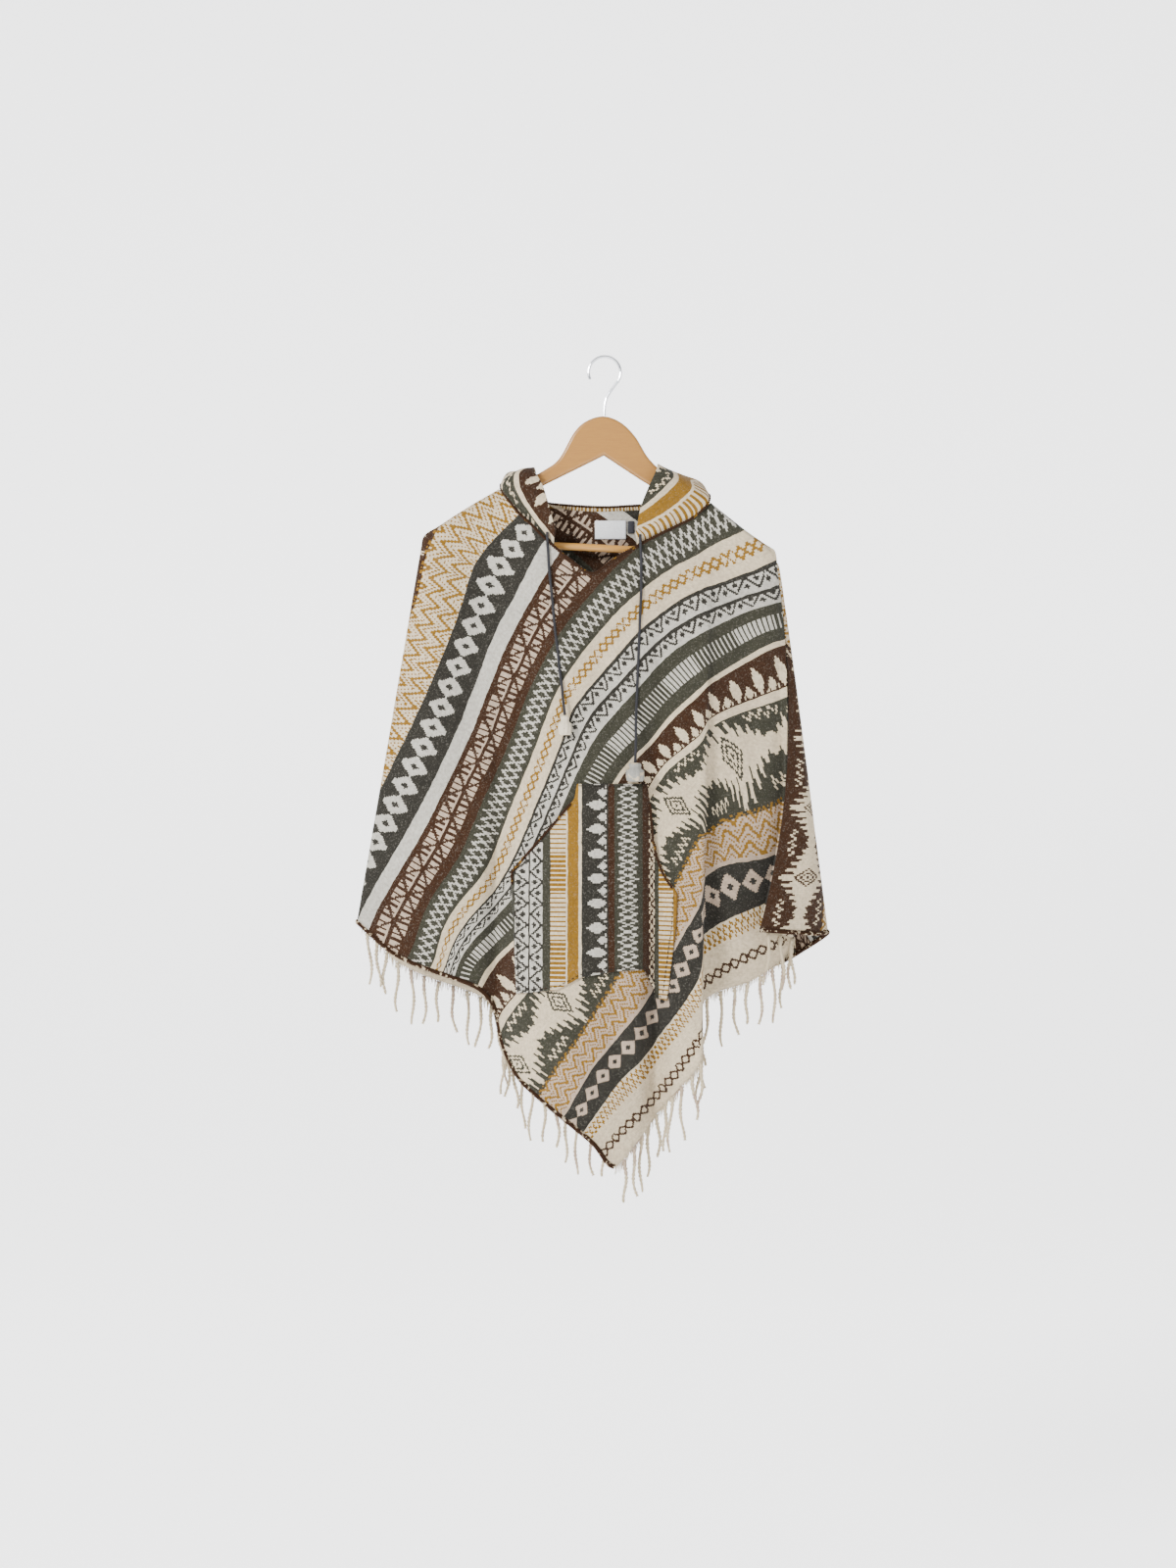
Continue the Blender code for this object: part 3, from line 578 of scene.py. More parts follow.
def finer_rows(grid, steps):
    """The same grid with so many steps from row to row."""
    return finer(grid.transpose(1, 0, 2), steps).transpose(1, 0, 2)


front_smooth = finer_rows(front, FINE_ROWS)
front = crease_cloth(front_smooth, FRONT_CREASES, -1)
last_neck = len(front_lines) - RIGHT_TIP_FALLS - len(FRONT_RIGHT_RIDGE) - 1
first_neck = last_neck - len(FRONT_NECK) + 1
front_share = smooth_step((front_at - last_neck) / FOLD_WIDTH)[:, None]
front_weave = weave_of(to_picture(front_smooth), front_share)
front_piece = shell("front_cloth", front, WALL, front_weave)
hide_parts("front_panel")

# %% [markdown]
# The back panel is the same blanket turned half round. Where it comes forward round the right side its
# outermost band runs straight down beside the seam, so the distance from the seam sets the weave there.

# %% Back panel
SIDE_BAND = 105.0
SIDE_EASE = 60.0
SIDE_START = -14.0
SIDE_STRETCH = 1.12
SIDE_TOP = 330.0
SIDE_TAPER = 120.0

back_smooth = finer_rows(back, FINE_ROWS)
back = crease_cloth(back_smooth, BACK_CREASES, 1)
turned = back_smooth * np.array([-1.0, -1.0, 1.0])
back_weave = weave_of(to_picture(turned), np.zeros(back_smooth.shape[:2]))
from_seam = run_of(back_smooth)
drop = -back_smooth[:, :, 2]
side_weave = np.stack([drop, SIDE_START + from_seam * SIDE_STRETCH, np.zeros_like(drop)], axis=-1)
side_limit = (SIDE_BAND + SIDE_EASE) * smooth_step((drop - SIDE_TOP) / SIDE_TAPER) - SIDE_EASE
turn = smooth_step((from_seam - side_limit) / SIDE_EASE)[..., None]
back_weave = side_weave * (1 - turn) + back_weave * turn
back_piece = shell("back_cloth", back, WALL, back_weave)
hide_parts("back_panel")

# %% [markdown]
# The hood lies folded behind the neck, two layers deep. It is drawn through ribs, each a curve from
# the neck seam out to the hood's free edge, and its bands run round the neck.

# %% Hood
HOOD_RIBS = (
    # from the left front round the back to the right front
    ((-62, -17.5, -247), (-63, -18.5, -237), (-63, -21, -230), (-62, -23, -223), (-61, -24, -217)),
    ((-94, -12, -209), (-95, -13.5, -199), (-93, -20, -184), (-86, -23, -173), (-75, -22, -166)),
    ((-124, -12.5, -173), (-124, -14, -165), (-119, -16, -156), (-105, -18, -147), (-87, -17, -144)),
    ((-129, 0, -158), (-125, 0, -151), (-115, 0, -145), (-102, 0, -139), (-87, 0, -137)),
    ((-125, 13.5, -172), (-128, 19, -161), (-124, 28, -151), (-108, 32, -147), (-86, 26, -144)),
    ((-98, 17.5, -176), (-116, 28, -214), (-120, 50, -262), (-114, 64, -214), (-92, 46, -166)),
    ((-56, 20.5, -181), (-70, 32, -250), (-70, 58, -335), (-66, 84, -262), (-50, 66, -180)),
    ((-2, 21.5, -184), (-2, 36, -285), (-2, 64, -385), (-2, 94, -295), (-2, 76, -190)),
    ((50, 20.5, -182), (66, 33, -252), (70, 58, -338), (66, 84, -265), (48, 66, -182)),
    ((96, 17.5, -185), (114, 28, -222), (118, 50, -268), (112, 64, -220), (88, 46, -172)),
    ((126, 13.5, -186), (129, 19, -178), (124, 28, -166), (104, 32, -156), (70, 26, -142)),
    ((130, 0, -171), (125, 0, -164), (111, 0, -155), (91, 0, -144), (66, 0, -133)),
    ((125, -12.5, -187), (124, -14, -180), (114, -17, -172), (92, -19, -158), (64, -17, -141)),
    ((88, -12, -216), (88, -13.5, -207), (80, -20, -195), (64, -23, -188), (46, -22, -184)),
    ((40, -17.5, -242), (40, -18.5, -235), (40, -21, -230), (39, -23, -226), (38, -24, -221)),
)
HOOD_TURN = (101.0, 6.0)
HOOD_FINE = 14
HOOD_WAVE = 1.6

hood_smooth = finer_rows(finer(HOOD_RIBS, HOOD_FINE), HOOD_FINE)
rib_runs = run_of(hood_smooth, 1)
round_neck = run_of(hood_smooth[:, hood_smooth.shape[1] // 2])[:, None] * np.ones_like(rib_runs)
share_round = np.linspace(0, 1, len(hood_smooth))[:, None]
hood_across = rib_runs + HOOD_TURN[0] * (1 - smooth_step(share_round * 1.6)) + HOOD_TURN[1]
hood_weave = np.stack([round_neck, hood_across, np.zeros_like(rib_runs)], axis=-1)
wave = np.sin(round_neck / 17) * np.sin(rib_runs / 26) * smooth_step(rib_runs / 40)
hood = hood_smooth + grid_normals(hood_smooth) * wave[..., None] * HOOD_WAVE
hood_piece = shell("hood_cloth", hood, WALL, hood_weave)
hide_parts("hood")

# %% [markdown]
# The pocket is a patch laid on the front, so each of its points is found by looking at the front's
# cloth from before it and lifting off a little. Its two slanted sides are open for the hands.

# %% Pocket
POCKET_LIFT = 4.3
POCKET_SEWN = 2.9
POCKET_EASE = 0.4
POCKET_ROWS = 16
POCKET_SIDES = (
    (-531, -34, 50), (-551, -37, 53), (-600, -78, 57), (-640, -112, 76), (-662, -112, 90),
    (-700, -110, 88), (-787, -106, 78),
)
POCKET_HEM = (
    (-112, -788), (-57, -781), (-30, -766), (13, -759), (46, -757), (62, -792), (90, -797),
)
POCKET_TOP = -531.0
POCKET_FOOT = -790.0
IN_FRONT = -400.0
POCKET_FINE = (72, 84)


def surface_tree(grid):
    """A cloth that can be looked at along a ray."""
    corner = np.arange(grid[..., 0].size).reshape(grid.shape[:2])
    faces = quads(corner)[:, [0, 3, 2, 1]]
    return BVHTree.FromPolygons(grid.reshape(-1, 3).tolist(), faces.tolist())


def before(tree, x, z, lift, y=IN_FRONT):
    """The first cloth behind x, y, z, lifted off towards the front along its normal."""
    hit, normal, _, _ = tree.ray_cast(Vector((x, y, z)), Vector((0, 1, 0)))
    return hit + (normal if normal.y < 0 else -normal) * lift


def pocket_spot(across, down):
    """x and z of a place on the pocket, both counted from 0 to 1."""
    heights, lefts, rights = zip(*POCKET_SIDES[::-1])
    z = POCKET_TOP + (POCKET_FOOT - POCKET_TOP) * down
    left, right = np.interp(z, heights, lefts), np.interp(z, heights, rights)
    x = left + (right - left) * across
    low = np.interp(x, [p[0] for p in POCKET_HEM], [p[1] for p in POCKET_HEM])
    return x, POCKET_TOP + (low - POCKET_TOP) * down


front_tree = surface_tree(front)
pocket = []
for across in np.linspace(0, 1, POCKET_FINE[0] + 1):
    column = []
    for down in np.linspace(0, 1, POCKET_FINE[1] + 1):
        inward = min(across, 1 - across, 1 - down, down) * POCKET_ROWS
        lift = POCKET_SEWN + POCKET_EASE + (POCKET_LIFT - POCKET_SEWN) * min(inward, 1)
        column.append(before(front_tree, *pocket_spot(across, down), lift))
    pocket.append(column)
pocket = np.array(pocket)
pocket_weave = np.stack([-pocket[..., 2], pocket[..., 0], np.zeros(pocket.shape[:2])], axis=-1)
pocket_piece = shell("pocket_cloth", pocket, WALL, pocket_weave)
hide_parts("pocket")

# %% [markdown]
# Cut edges are overlocked: a machine wraps thick brown and cream yarn round the edge. A rope of two
# twisted plies has that look, and the same rope, made thin and cream, is one end of the fringe.

# %% A twisted rope
PLY_OFFSET = 0.52
PLY_THICK = 0.62


def frames_along(points):
    """Two directions across a path at each of its points."""
    way = np.gradient(points, axis=0)
    way /= np.maximum(np.linalg.norm(way, axis=1, keepdims=True), 1e-9)
    up = np.array([0.0, 1.0, 0.0])
    side = np.cross(way, up)
    side /= np.maximum(np.linalg.norm(side, axis=1, keepdims=True), 1e-9)
    return side, np.cross(side, way)


def rope(points, radius, turn_length, plies=2, sides=6, taper=0.0):
    """Points and faces of twisted plies about a path, in millimetres."""
    side, other = frames_along(points)
    run = run_of(points)
    share = run / run[-1]
    shrink = 1 - taper * share
    round_ply = np.arange(sides) * 2 * math.pi / sides
    spots, faces = [], []
    for ply in range(plies):
        turn = 2 * math.pi * (run / turn_length + ply / plies)
        offset = radius * PLY_OFFSET * shrink
        middle = points + side * (np.cos(turn) * offset)[:, None]
        middle = middle + other * (np.sin(turn) * offset)[:, None]
        thick = (radius * PLY_THICK * shrink)[:, None, None]
        ring = side[:, None] * np.cos(round_ply)[None, :, None]
        ring = ring + other[:, None] * np.sin(round_ply)[None, :, None]
        base = sum(len(part) for part in spots)
        spots.append((middle[:, None] + ring * thick).reshape(-1, 3))
        for k in range(len(points) - 1):
            for s in range(sides):
                t = (s + 1) % sides
                low, high = base + k * sides, base + (k + 1) * sides
                faces.append((low + s, low + t, high + t, high + s))
        faces.append(tuple(base + s for s in range(sides))[::-1])
        faces.append(tuple(base + (len(points) - 1) * sides + s for s in range(sides)))
    return np.concatenate(spots), faces


def joined(name, parts):
    """One piece from several lists of points and faces."""
    spots, faces, base = [], [], 0
    for part_spots, part_faces in parts:
        spots.append(part_spots)
        faces += [tuple(base + corner for corner in face) for face in part_faces]
        base += len(part_spots)
    mesh = bpy.data.meshes.new(name)
    mesh.from_pydata((np.concatenate(spots) * MM).tolist(), [], faces)
    mesh.shade_smooth()
    thing = place(name, mesh)
    print(name, len(mesh.polygons), "faces")
    return thing


def points_at(marks, points):
    """Points at the marks, which count millimetres along a line."""
    run = run_of(points)
    return np.stack([np.interp(marks, run, points[:, axis]) for axis in range(3)], axis=-1)


def even_path(points, step):
    """The same line with even steps."""
    length = run_of(points)[-1]
    return points_at(np.linspace(0, length, max(2, int(length / step))), points)


# %% [markdown]
# The brown overlock runs along the two short ends of the cloth: the front's lower left hem and the
# hem of the strip at the right, which goes on behind.

# %% Overlocked hems
OVERLOCK_RADIUS = 3.0
BINDING_TURN = 6.0
FRONT_POINT = (11.0, -992.0)
BACK_POINT = (8.0, -984.0)


def nearest_column(grid, x, z):
    hem = grid[:, -1]
    return int(np.argmin((hem[:, 0] - x) ** 2 + (hem[:, 2] - z) ** 2))


front_turn = nearest_column(front, *FRONT_POINT)
back_turn = nearest_column(back, *BACK_POINT)
hems = (front[: front_turn + 1, -1], back[: back_turn + 1, -1])
overlocks = [rope(even_path(hem, 1.1), OVERLOCK_RADIUS, 5.5, plies=3) for hem in hems]
hem_piece = joined("overlock", overlocks)

neck_columns = [k for k, at in enumerate(front_at) if first_neck <= at <= last_neck]
neck_rim = front[neck_columns, 0] + np.array([0, -1.2, 0.6])
neck_rope = rope(even_path(neck_rim, 1.2), 1.9, BINDING_TURN)
neck_piece = joined("neck_binding", [neck_rope])
hood_rim = hood[:, 0] + np.array([0, -1.0, 0.4])
hood_rope = rope(even_path(hood_rim, 1.3), 1.7, BINDING_TURN)
hood_seam = joined("hood_seam", [hood_rope])

# %% [markdown]
# The pocket is sewn on by hand with dark yarn along its top, sides and hem. Each stitch is a short
# piece of yarn that lies on the cloth. The two slanted openings are bound like the neck.

# %% Sewing on the pocket
STITCH = 3.6
STITCH_GAP = 2.4
STITCH_RADIUS = 0.75
PLAIN_TURN = 40.0
SEWING_LIFT = 1.6
LINE_SPOTS = 60
OPENING_ENDS = (0.10, 0.48)


def stitches(line):
    """Separate short stitches along a line."""
    line = even_path(line, 0.6)
    starts = np.arange(0, run_of(line)[-1] - STITCH, STITCH + STITCH_GAP)
    spots = [points_at(np.linspace(start, start + STITCH, 4), line) for start in starts]
    return [rope(stitch, STITCH_RADIUS, PLAIN_TURN, plies=1, sides=5) for stitch in spots]


def pocket_line(acrosses, downs):
    """A line of places on the pocket, laid just over its cloth."""
    lift = POCKET_LIFT + SEWING_LIFT
    pairs = zip(np.broadcast_to(acrosses, LINE_SPOTS), np.broadcast_to(downs, LINE_SPOTS))
    return np.array([before(front_tree, *pocket_spot(across, down), lift) for across, down in pairs])


sewn = stitches(pocket_line(np.linspace(0.03, 0.97, LINE_SPOTS), 0.012))
sewn += stitches(pocket_line(np.linspace(0.02, 0.98, LINE_SPOTS), 0.988))
for side in (0.02, 0.98):
    sewn += stitches(pocket_line(side, np.linspace(0.52, 0.98, LINE_SPOTS)))
pocket_sewing = joined("pocket_stitches", sewn)
along_opening = np.linspace(*OPENING_ENDS, LINE_SPOTS)
edges = [even_path(pocket_line(side, along_opening), 1.2) for side in (0.006, 0.994)]
bound = [rope(edge, 1.7, BINDING_TURN) for edge in edges]
pocket_binding = joined("pocket_binding", bound)

# %% [markdown]
# Each fringe has a frayed edge of short loose yarns and, every two centimetres, a longer twisted end.
# Hair could make them, but a few hundred small ropes stay under control and can be exported.

# %% Fringes
STRAND_PITCH = 19.0
STRAND_LENGTH = 60.0
STRAND_RADIUS = 2.9
STRAND_TURN = 11.0
STRAND_SPREAD = 5.0
STUB_PITCH = 1.8
STUB_RADIUS = 1.15
seed = np.random.default_rng(7)


def strand_path(root, number, length, spread):
    """A limp twisted end that hangs from its root with a small curl."""
    share = np.linspace(0, 1, 15)
    lean = spread * math.sin(1.7 * number + 0.6)
    curl = 4.2 * np.sin(share * 5.2 + number * 1.3) * share
    x = lean * share**1.2 + curl
    y = 1.6 * np.sin(share * 4.1 + number) * share
    return root + np.stack([x, y, -length * share], axis=1)


def make_fringe(name, hem, stood_for):
    """The long twisted ends and the short loose yarns of one hem."""
    hem_length = run_of(hem)[-1]
    parts = []
    count = int(hem_length // STRAND_PITCH)
    spare = (hem_length - count * STRAND_PITCH) / 2
    for k in range(count):
        root = points_at(spare + STRAND_PITCH * (k + 0.5), hem) + np.array([0, 0, -1.0])
        length = STRAND_LENGTH * (0.86 + 0.28 * math.sin(2.4 * k) ** 2)
        path = strand_path(root, k, length, STRAND_SPREAD)
        parts.append(rope(path, STRAND_RADIUS, STRAND_TURN, taper=0.35))
    stubs = int(hem_length // STUB_PITCH)
    for k in range(stubs):
        shift = np.array([0, seed.uniform(-0.6, 0.6), 0.5])
        root = points_at((k + 0.5) * STUB_PITCH, hem) + shift
        length = seed.uniform(5, 11) + 3 * math.sin(k * 0.35)
        share = np.linspace(0, 1, 4)
        drift = seed.uniform(-2.2, 2.2)
        sway = seed.uniform(-0.8, 0.8)
        path = root + np.stack([drift * share, sway * share, -length * share], axis=1)
        parts.append(rope(path, STUB_RADIUS, PLAIN_TURN, plies=1, sides=5, taper=0.6))
    thing = joined(name, parts)
    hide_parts(stood_for)
    print(name, count, "twisted ends,", stubs, "loose yarns")
    return thing


front_fringe = make_fringe("fringe_front", front[front_turn:, -1], "front_fringe")
back_fringe = make_fringe("fringe_back", back[back_turn:, -1], "back_fringe")

# %% [markdown]
# Inside the back neck sits a plain white ribbon label, and a small dark tab beside it. Both are thin
# patches on the back panel's inner face, left without any lettering.

# %% Label and tab
LABEL_SIDES = (-12.0, 27.0)
LABEL_ENDS = (-224.0, -201.0)
TAB_SIDES = (29.0, 37.0)
TAB_ENDS = (-217.0, -202.0)
IN_NECK = -5.0
RIBBON = 0.7
RIBBON_LIFT = 2.2
back_tree = surface_tree(back)


def neck_patch(sides, ends):
    """A patch on the inside of the back neck, a little bowed."""
    columns = []
    for x in np.linspace(*sides, 20):
        column = []
        for z in np.linspace(ends[1], ends[0], 12):
            sag = 0.5 * math.sin((x - sides[0]) / (sides[1] - sides[0]) * math.pi)
            column.append(before(back_tree, x, z, RIBBON_LIFT + sag, IN_NECK))
        columns.append(column)
    return np.array(columns)


label_piece = shell("label_ribbon", neck_patch(LABEL_SIDES, LABEL_ENDS), RIBBON)
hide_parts("neck_label")
tab_piece = shell("dark_tab", neck_patch(TAB_SIDES, TAB_ENDS), RIBBON)
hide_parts("size_tab")

# %% [markdown]
# The cords end in little bells of wrapped cloth. A turned shape would be too round, so its rings are
# pleated by a wave that grows towards the foot.

# %% Cord ends
# Length, radius at the waist and at the foot
LEFT_END = (24.0, 5.5, 8.5)
RIGHT_END = (23.0, 8.0, 11.5)
END_STEPS = (
    # share of the length, and of the radius there
    (0.0, 0.35), (0.04, 0.9), (0.12, 1.0), (0.3, 0.93), (0.42, 1.0), (0.7, 1.0), (0.9, 0.95), (1.0, 0.8),
)
END_SIDES = 48
END_PLEATS = 9
END_FLATNESS = 0.9


def cloth_end(name, point, length, waist, foot, stood_for):
    """A pleated bell of cloth that hangs from a cord's last point."""
    around = np.linspace(0, 2 * math.pi, END_SIDES, endpoint=False)
    rings = []
    for share, size in END_STEPS:
        radius = (waist if share < 0.4 else foot) * size
        pleat = 1 - (0.05 + 0.10 * share) * (0.5 + 0.5 * np.cos(around * END_PLEATS + share * 2))
        ring = np.stack([
            radius * pleat * np.cos(around),
            radius * pleat * np.sin(around) * END_FLATNESS,
            np.full_like(around, -CORD_GAP - share * length),
        ], axis=1)
        rings.append(point + ring)
    spots = np.concatenate(rings)
    faces = []
    for high in range(0, len(spots) - END_SIDES, END_SIDES):
        low = high + END_SIDES
        for s in range(END_SIDES):
            t = (s + 1) % END_SIDES
            faces.append((high + s, low + s, low + t, high + t))
    faces.append(tuple(range(END_SIDES)))
    faces.append(tuple(range(len(spots) - 1, len(spots) - END_SIDES - 1, -1)))
    thing = joined(name, [(spots, faces)])
    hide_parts(stood_for)
    return thing


ends = {
    "left": cloth_end("bell_left", np.array(LEFT_CORD[-1]), *LEFT_END, "cord_end_left"),
    "right": cloth_end("bell_right", np.array(RIGHT_CORD[-1]), *RIGHT_END, "cord_end_right"),
}
for side, (cord, points) in cords.items():
    round(float(run_of(points)[-1]), 3)

# %% [markdown]
# The hanger is one flat board, sawn to its outline and rounded over. Its arch is drawn through a few
# points as a smooth line, and the saw cut's edges get a wide round.

# %% Wooden arms
ARM_WIDTH = 11.0
ARM_ROUNDING = 4.0
ARM_CLEARANCE = 3.8
ARCH_STEPS = 8
ARM_LEFT_X = (-205, -177, -134, -100)
ARM_MIDDLE = (
    (-77, -141), (-57, -126), (-38, -93), (-22, -78.5), (-1, -73), (20, -80.5), (38, -98), (54, -124),
    (72, -142),
)
ARM_RIGHT_X = (100, 135, 174, 197)
ARM_UNDER = (
    (196, -254), (182, -258), (168.5, -256), (168.5, -236), (150, -221), (100, -186), (43, -151),
    (-1, -122), (-74, -158), (-120, -184), (-160, -206), (-176, -217), (-176, -237), (-190, -240),
    (-203, -236),
)


def wooden_arms():
    """A board in the outline of the arms, with rounded edges."""
    left, right = (
        [(x, ridge_height(x) - ARM_CLEARANCE) for x in places] for places in (ARM_LEFT_X, ARM_RIGHT_X)
    )
    arch = finer([left[-1], *ARM_MIDDLE, right[0]], ARCH_STEPS)
    outline = [*left[:-1], *arch.tolist(), *right[1:], *ARM_UNDER]
    count = len(outline)
    half = ARM_WIDTH / 2
    points = [(x * MM, y * MM, z * MM) for y in (-half, half) for x, z in outline]
    faces = [tuple(range(count)), tuple(range(2 * count - 1, count - 1, -1))]
    faces += [(k, k + count, (k + 1) % count + count, (k + 1) % count) for k in range(count)]
    mesh = bpy.data.meshes.new("arms")
    mesh.from_pydata(points, [], faces)
    mesh.shade_smooth()
    thing = place("wooden_arms", mesh)
    rounding = thing.modifiers.new("rounded edges", "BEVEL")
    rounding.width = ARM_ROUNDING * MM
    rounding.segments = 5
    rounding.limit_method = "ANGLE"
    rounding.angle_limit = math.radians(60)
    rounding.harden_normals = True
    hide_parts("hanger_body")
    return thing


arms = wooden_arms()

# %% [markdown]
# Now the finishes. A woven pattern is arithmetic on two coordinates, so the node tree is written as
# Python expressions. A small class wraps a socket, and each operator adds the Math node that it names.

# %% Values that build Math nodes
class Value:
    """A socket of a material; arithmetic with it adds Math nodes."""

    def __init__(self, tree, socket):
        self.tree = tree
        self.socket = socket

    def math(self, operation, *values):
        return node(self.tree, "ShaderNodeMath", {"operation": operation}, dict(enumerate(values)))

    def __add__(self, other):
        return self.math("ADD", self, other)

    __radd__ = __add__

    def __sub__(self, other):
        return self.math("SUBTRACT", self, other)

    def __rsub__(self, other):
        return self.math("SUBTRACT", other, self)

    def __mul__(self, other):
        return self.math("MULTIPLY", self, other)

    __rmul__ = __mul__

    def __lt__(self, other):
        return self.math("LESS_THAN", self, other)

    def __gt__(self, other):
        return self.math("GREATER_THAN", self, other)

    def __and__(self, other):
        return self.math("MINIMUM", self, other)

    def __or__(self, other):
        return self.math("MAXIMUM", self, other)

    def __abs__(self):
        return self.math("ABSOLUTE", self)

    def fraction(self):
        return self.math("FRACT", self)

    def snap(self, step):
        return self.math("SNAP", self, step)

    def saw(self):
        """From 1 down to 0 and up again, once for each whole number."""
        return abs(self.fraction() * 2 - 1)

    def middle(self):
        """From 1 down to 0 and up again, as the value goes from 0 to 1."""
        return abs(self * 2 - 1)

    def parts(self):
        """The three numbers of a vector."""
        split = self.tree.nodes.new("ShaderNodeSeparateXYZ")
        self.tree.links.new(self.socket, split.inputs[0])
        return [Value(self.tree, output) for output in split.outputs]

    def noise(self, scale, detail=2.0, distortion=0.0):
        """Noise over the places that the value holds."""
        values = {"Vector": self, "Scale": scale, "Detail": detail, "Distortion": distortion}
        return node(self.tree, "ShaderNodeTexNoise", {}, values)


def node(tree, kind, settings=None, values=None, output=0):
    """A node of any kind, with its settings first and then the values or links of its sockets."""
    made = tree.nodes.new(kind)
    for name, setting in (settings or {}).items():
        if name == "stops":
            ramp = made.color_ramp
            while len(ramp.elements) < len(setting):
                ramp.elements.new(1.0)
            for stop, (position, colour) in zip(ramp.elements, setting):
                stop.position = position
                stop.color = (*colour, 1.0)
        elif name == "interpolation":
            made.color_ramp.interpolation = setting
        else:
            setattr(made, name, setting)
    for key, value in (values or {}).items():
        if isinstance(value, Value):
            tree.links.new(value.socket, made.inputs[key])
        else:
            made.inputs[key].default_value = value
    return Value(tree, made.outputs[output])


def mix_colour(tree, factor, one, other, blend="MIX"):
    """A colour between two, or one blended on the other."""
    colours = {"Factor": factor, 6: solid(one), 7: solid(other)}
    settings = {"data_type": "RGBA", "blend_type": blend}
    return node(tree, "ShaderNodeMix", settings, colours, output=2)


def solid(colour):
    return colour if isinstance(colour, Value) else (*colour, 1.0)


def new_material(name, roughness, **constants):
    """A material, its tree and its main shader, whose constant inputs are set here."""
    made = bpy.data.materials.new(name)
    made.use_nodes = True
    shader = made.node_tree.nodes["Principled BSDF"]
    shader.inputs["Roughness"].default_value = roughness
    for key, value in constants.items():
        shader.inputs[key.replace("_", " ")].default_value = value
    return made, made.node_tree, shader


def shaded(tree, colour, light):
    """A colour made lighter or darker by a number near one."""
    grey = node(tree, "ShaderNodeCombineColor", {}, {k: light for k in range(3)})
    return mix_colour(tree, 1.0, colour, grey, "MULTIPLY")


def feed(shader, name, value):
    value.tree.links.new(value.socket, shader.inputs[name])


def raise_up(shader, height, strength, distance):
    """Sends a height to the shader's normal."""
    values = {"Height": height, "Strength": strength, "Distance": distance}
    feed(shader, "Normal", node(height.tree, "ShaderNodeBump", {}, values))


def dress(thing, material):
    slots = thing.data.materials
    slots.clear()
    slots.append(material)


# %% [markdown]
# Each motif is a test on two numbers: p counts repeats along the band and q goes from 0 to 1 across
# it. Folding them at their middles makes diamonds, saws make zigzags, and steps make teeth. They are
# common geometric blanket motifs.

# %% Motifs
def diamonds(p, q):
    apart = p.saw() + q.middle()
    return (apart > 0.30) & ((apart < 0.98) & (q.middle() < 0.85))


def beads(p, q):
    apart = p.saw() + q.middle() * 1.7
    return (apart > 0.32) & (apart < 0.92)


def chevrons(p, q):
    rise = p.saw() * 0.34
    first = abs(((q + rise) * 2.6).fraction() - 0.5) < 0.16
    second = abs(((q + rise) * 2.6 + 0.5).fraction() - 0.5) < 0.06
    return first | second


def zigzag_net(p, q):
    rise = p.saw()
    one = abs(q - (rise * 0.62 + 0.19)) < 0.075
    other = abs(q - (0.81 - rise * 0.62)) < 0.075
    return one | other


def crosses(p, q):
    x, y = p.saw(), q.middle()
    return (abs(x - y) < 0.30) | ((x < 0.25) & (y < 0.3))


def triangles(p, q):
    rise = p.saw()
    slant = abs(q - rise) < 0.13
    inner = abs(q - 0.36) + (1 - rise) * 0.8 < 0.24
    outer = abs(q - 0.64) + rise * 0.8 < 0.24
    return slant | (inner | outer)


def ladder(p, q):
    x = p.fraction()
    frame_lines = q.middle() > 0.84
    slant = (abs(x - q) < 0.07) | (abs(x + q - 1) < 0.05)
    rungs = (((x * 5).fraction() < 0.28) & (q.middle() > 0.20)) | (abs(q - 0.5) < 0.06)
    return 1 - (frame_lines | (slant | rungs))


def comb(p, q):
    tooth = abs(p.fraction() - 0.5) < 0.24
    return tooth & (q < 0.94)


def spears(p, q):
    x = p.saw()
    head = x < (q * 1.25 - 0.18) * 0.62
    tip = q > 0.22
    base = (q > 0.70) & ((p * 3).saw() < (q - 0.70) * 2.4)
    notch = ((p * 2).saw() < 0.22) & ((q > 0.52) & (q < 0.68))
    leaf = (x < 0.52 - abs(q - 0.62) * 1.25) & tip
    wedge = (1 - x) < 0.36 - abs(q - 0.84) * 1.6
    return (leaf & (1 - notch)) | (wedge | (base & (head & (x > 0.4))))


def star(p, q):
    x, y = p.saw(), q.middle()
    spikes = (x * 5.5 + 0.3).saw() * 0.66
    body = y < (1.14 - x) * (1 - spikes) + 0.03
    apart = x * 1.9 + y
    rings = (abs(apart - 0.46) < 0.055) | ((abs(apart - 0.26) < 0.05) | (apart < 0.07))
    bead = (1 - x) * 3.0 + y < 0.30
    sparks = (abs(y - (0.62 + (x * 5).saw() * 0.24)) < 0.045) & (x > 0.62)
    return (body & (1 - rings)) | (bead | sparks)


# %% [markdown]
# The colours are those of undyed and dyed wool: cream, two greys, brown and mustard. A band is a row
# of a table: where it ends, its ground, its motif, the motif's yarn and how often it repeats.

# %% Yarn colours and the table of bands
CREAM = (0.47, 0.385, 0.265)
PALE = (0.36, 0.34, 0.295)
MAUVE = (0.33, 0.25, 0.185)
DARK = (0.017, 0.0155, 0.012)
GREEN = (0.026, 0.025, 0.0165)
BROWN = (0.026, 0.0105, 0.0038)
MUSTARD = (0.165, 0.082, 0.008)

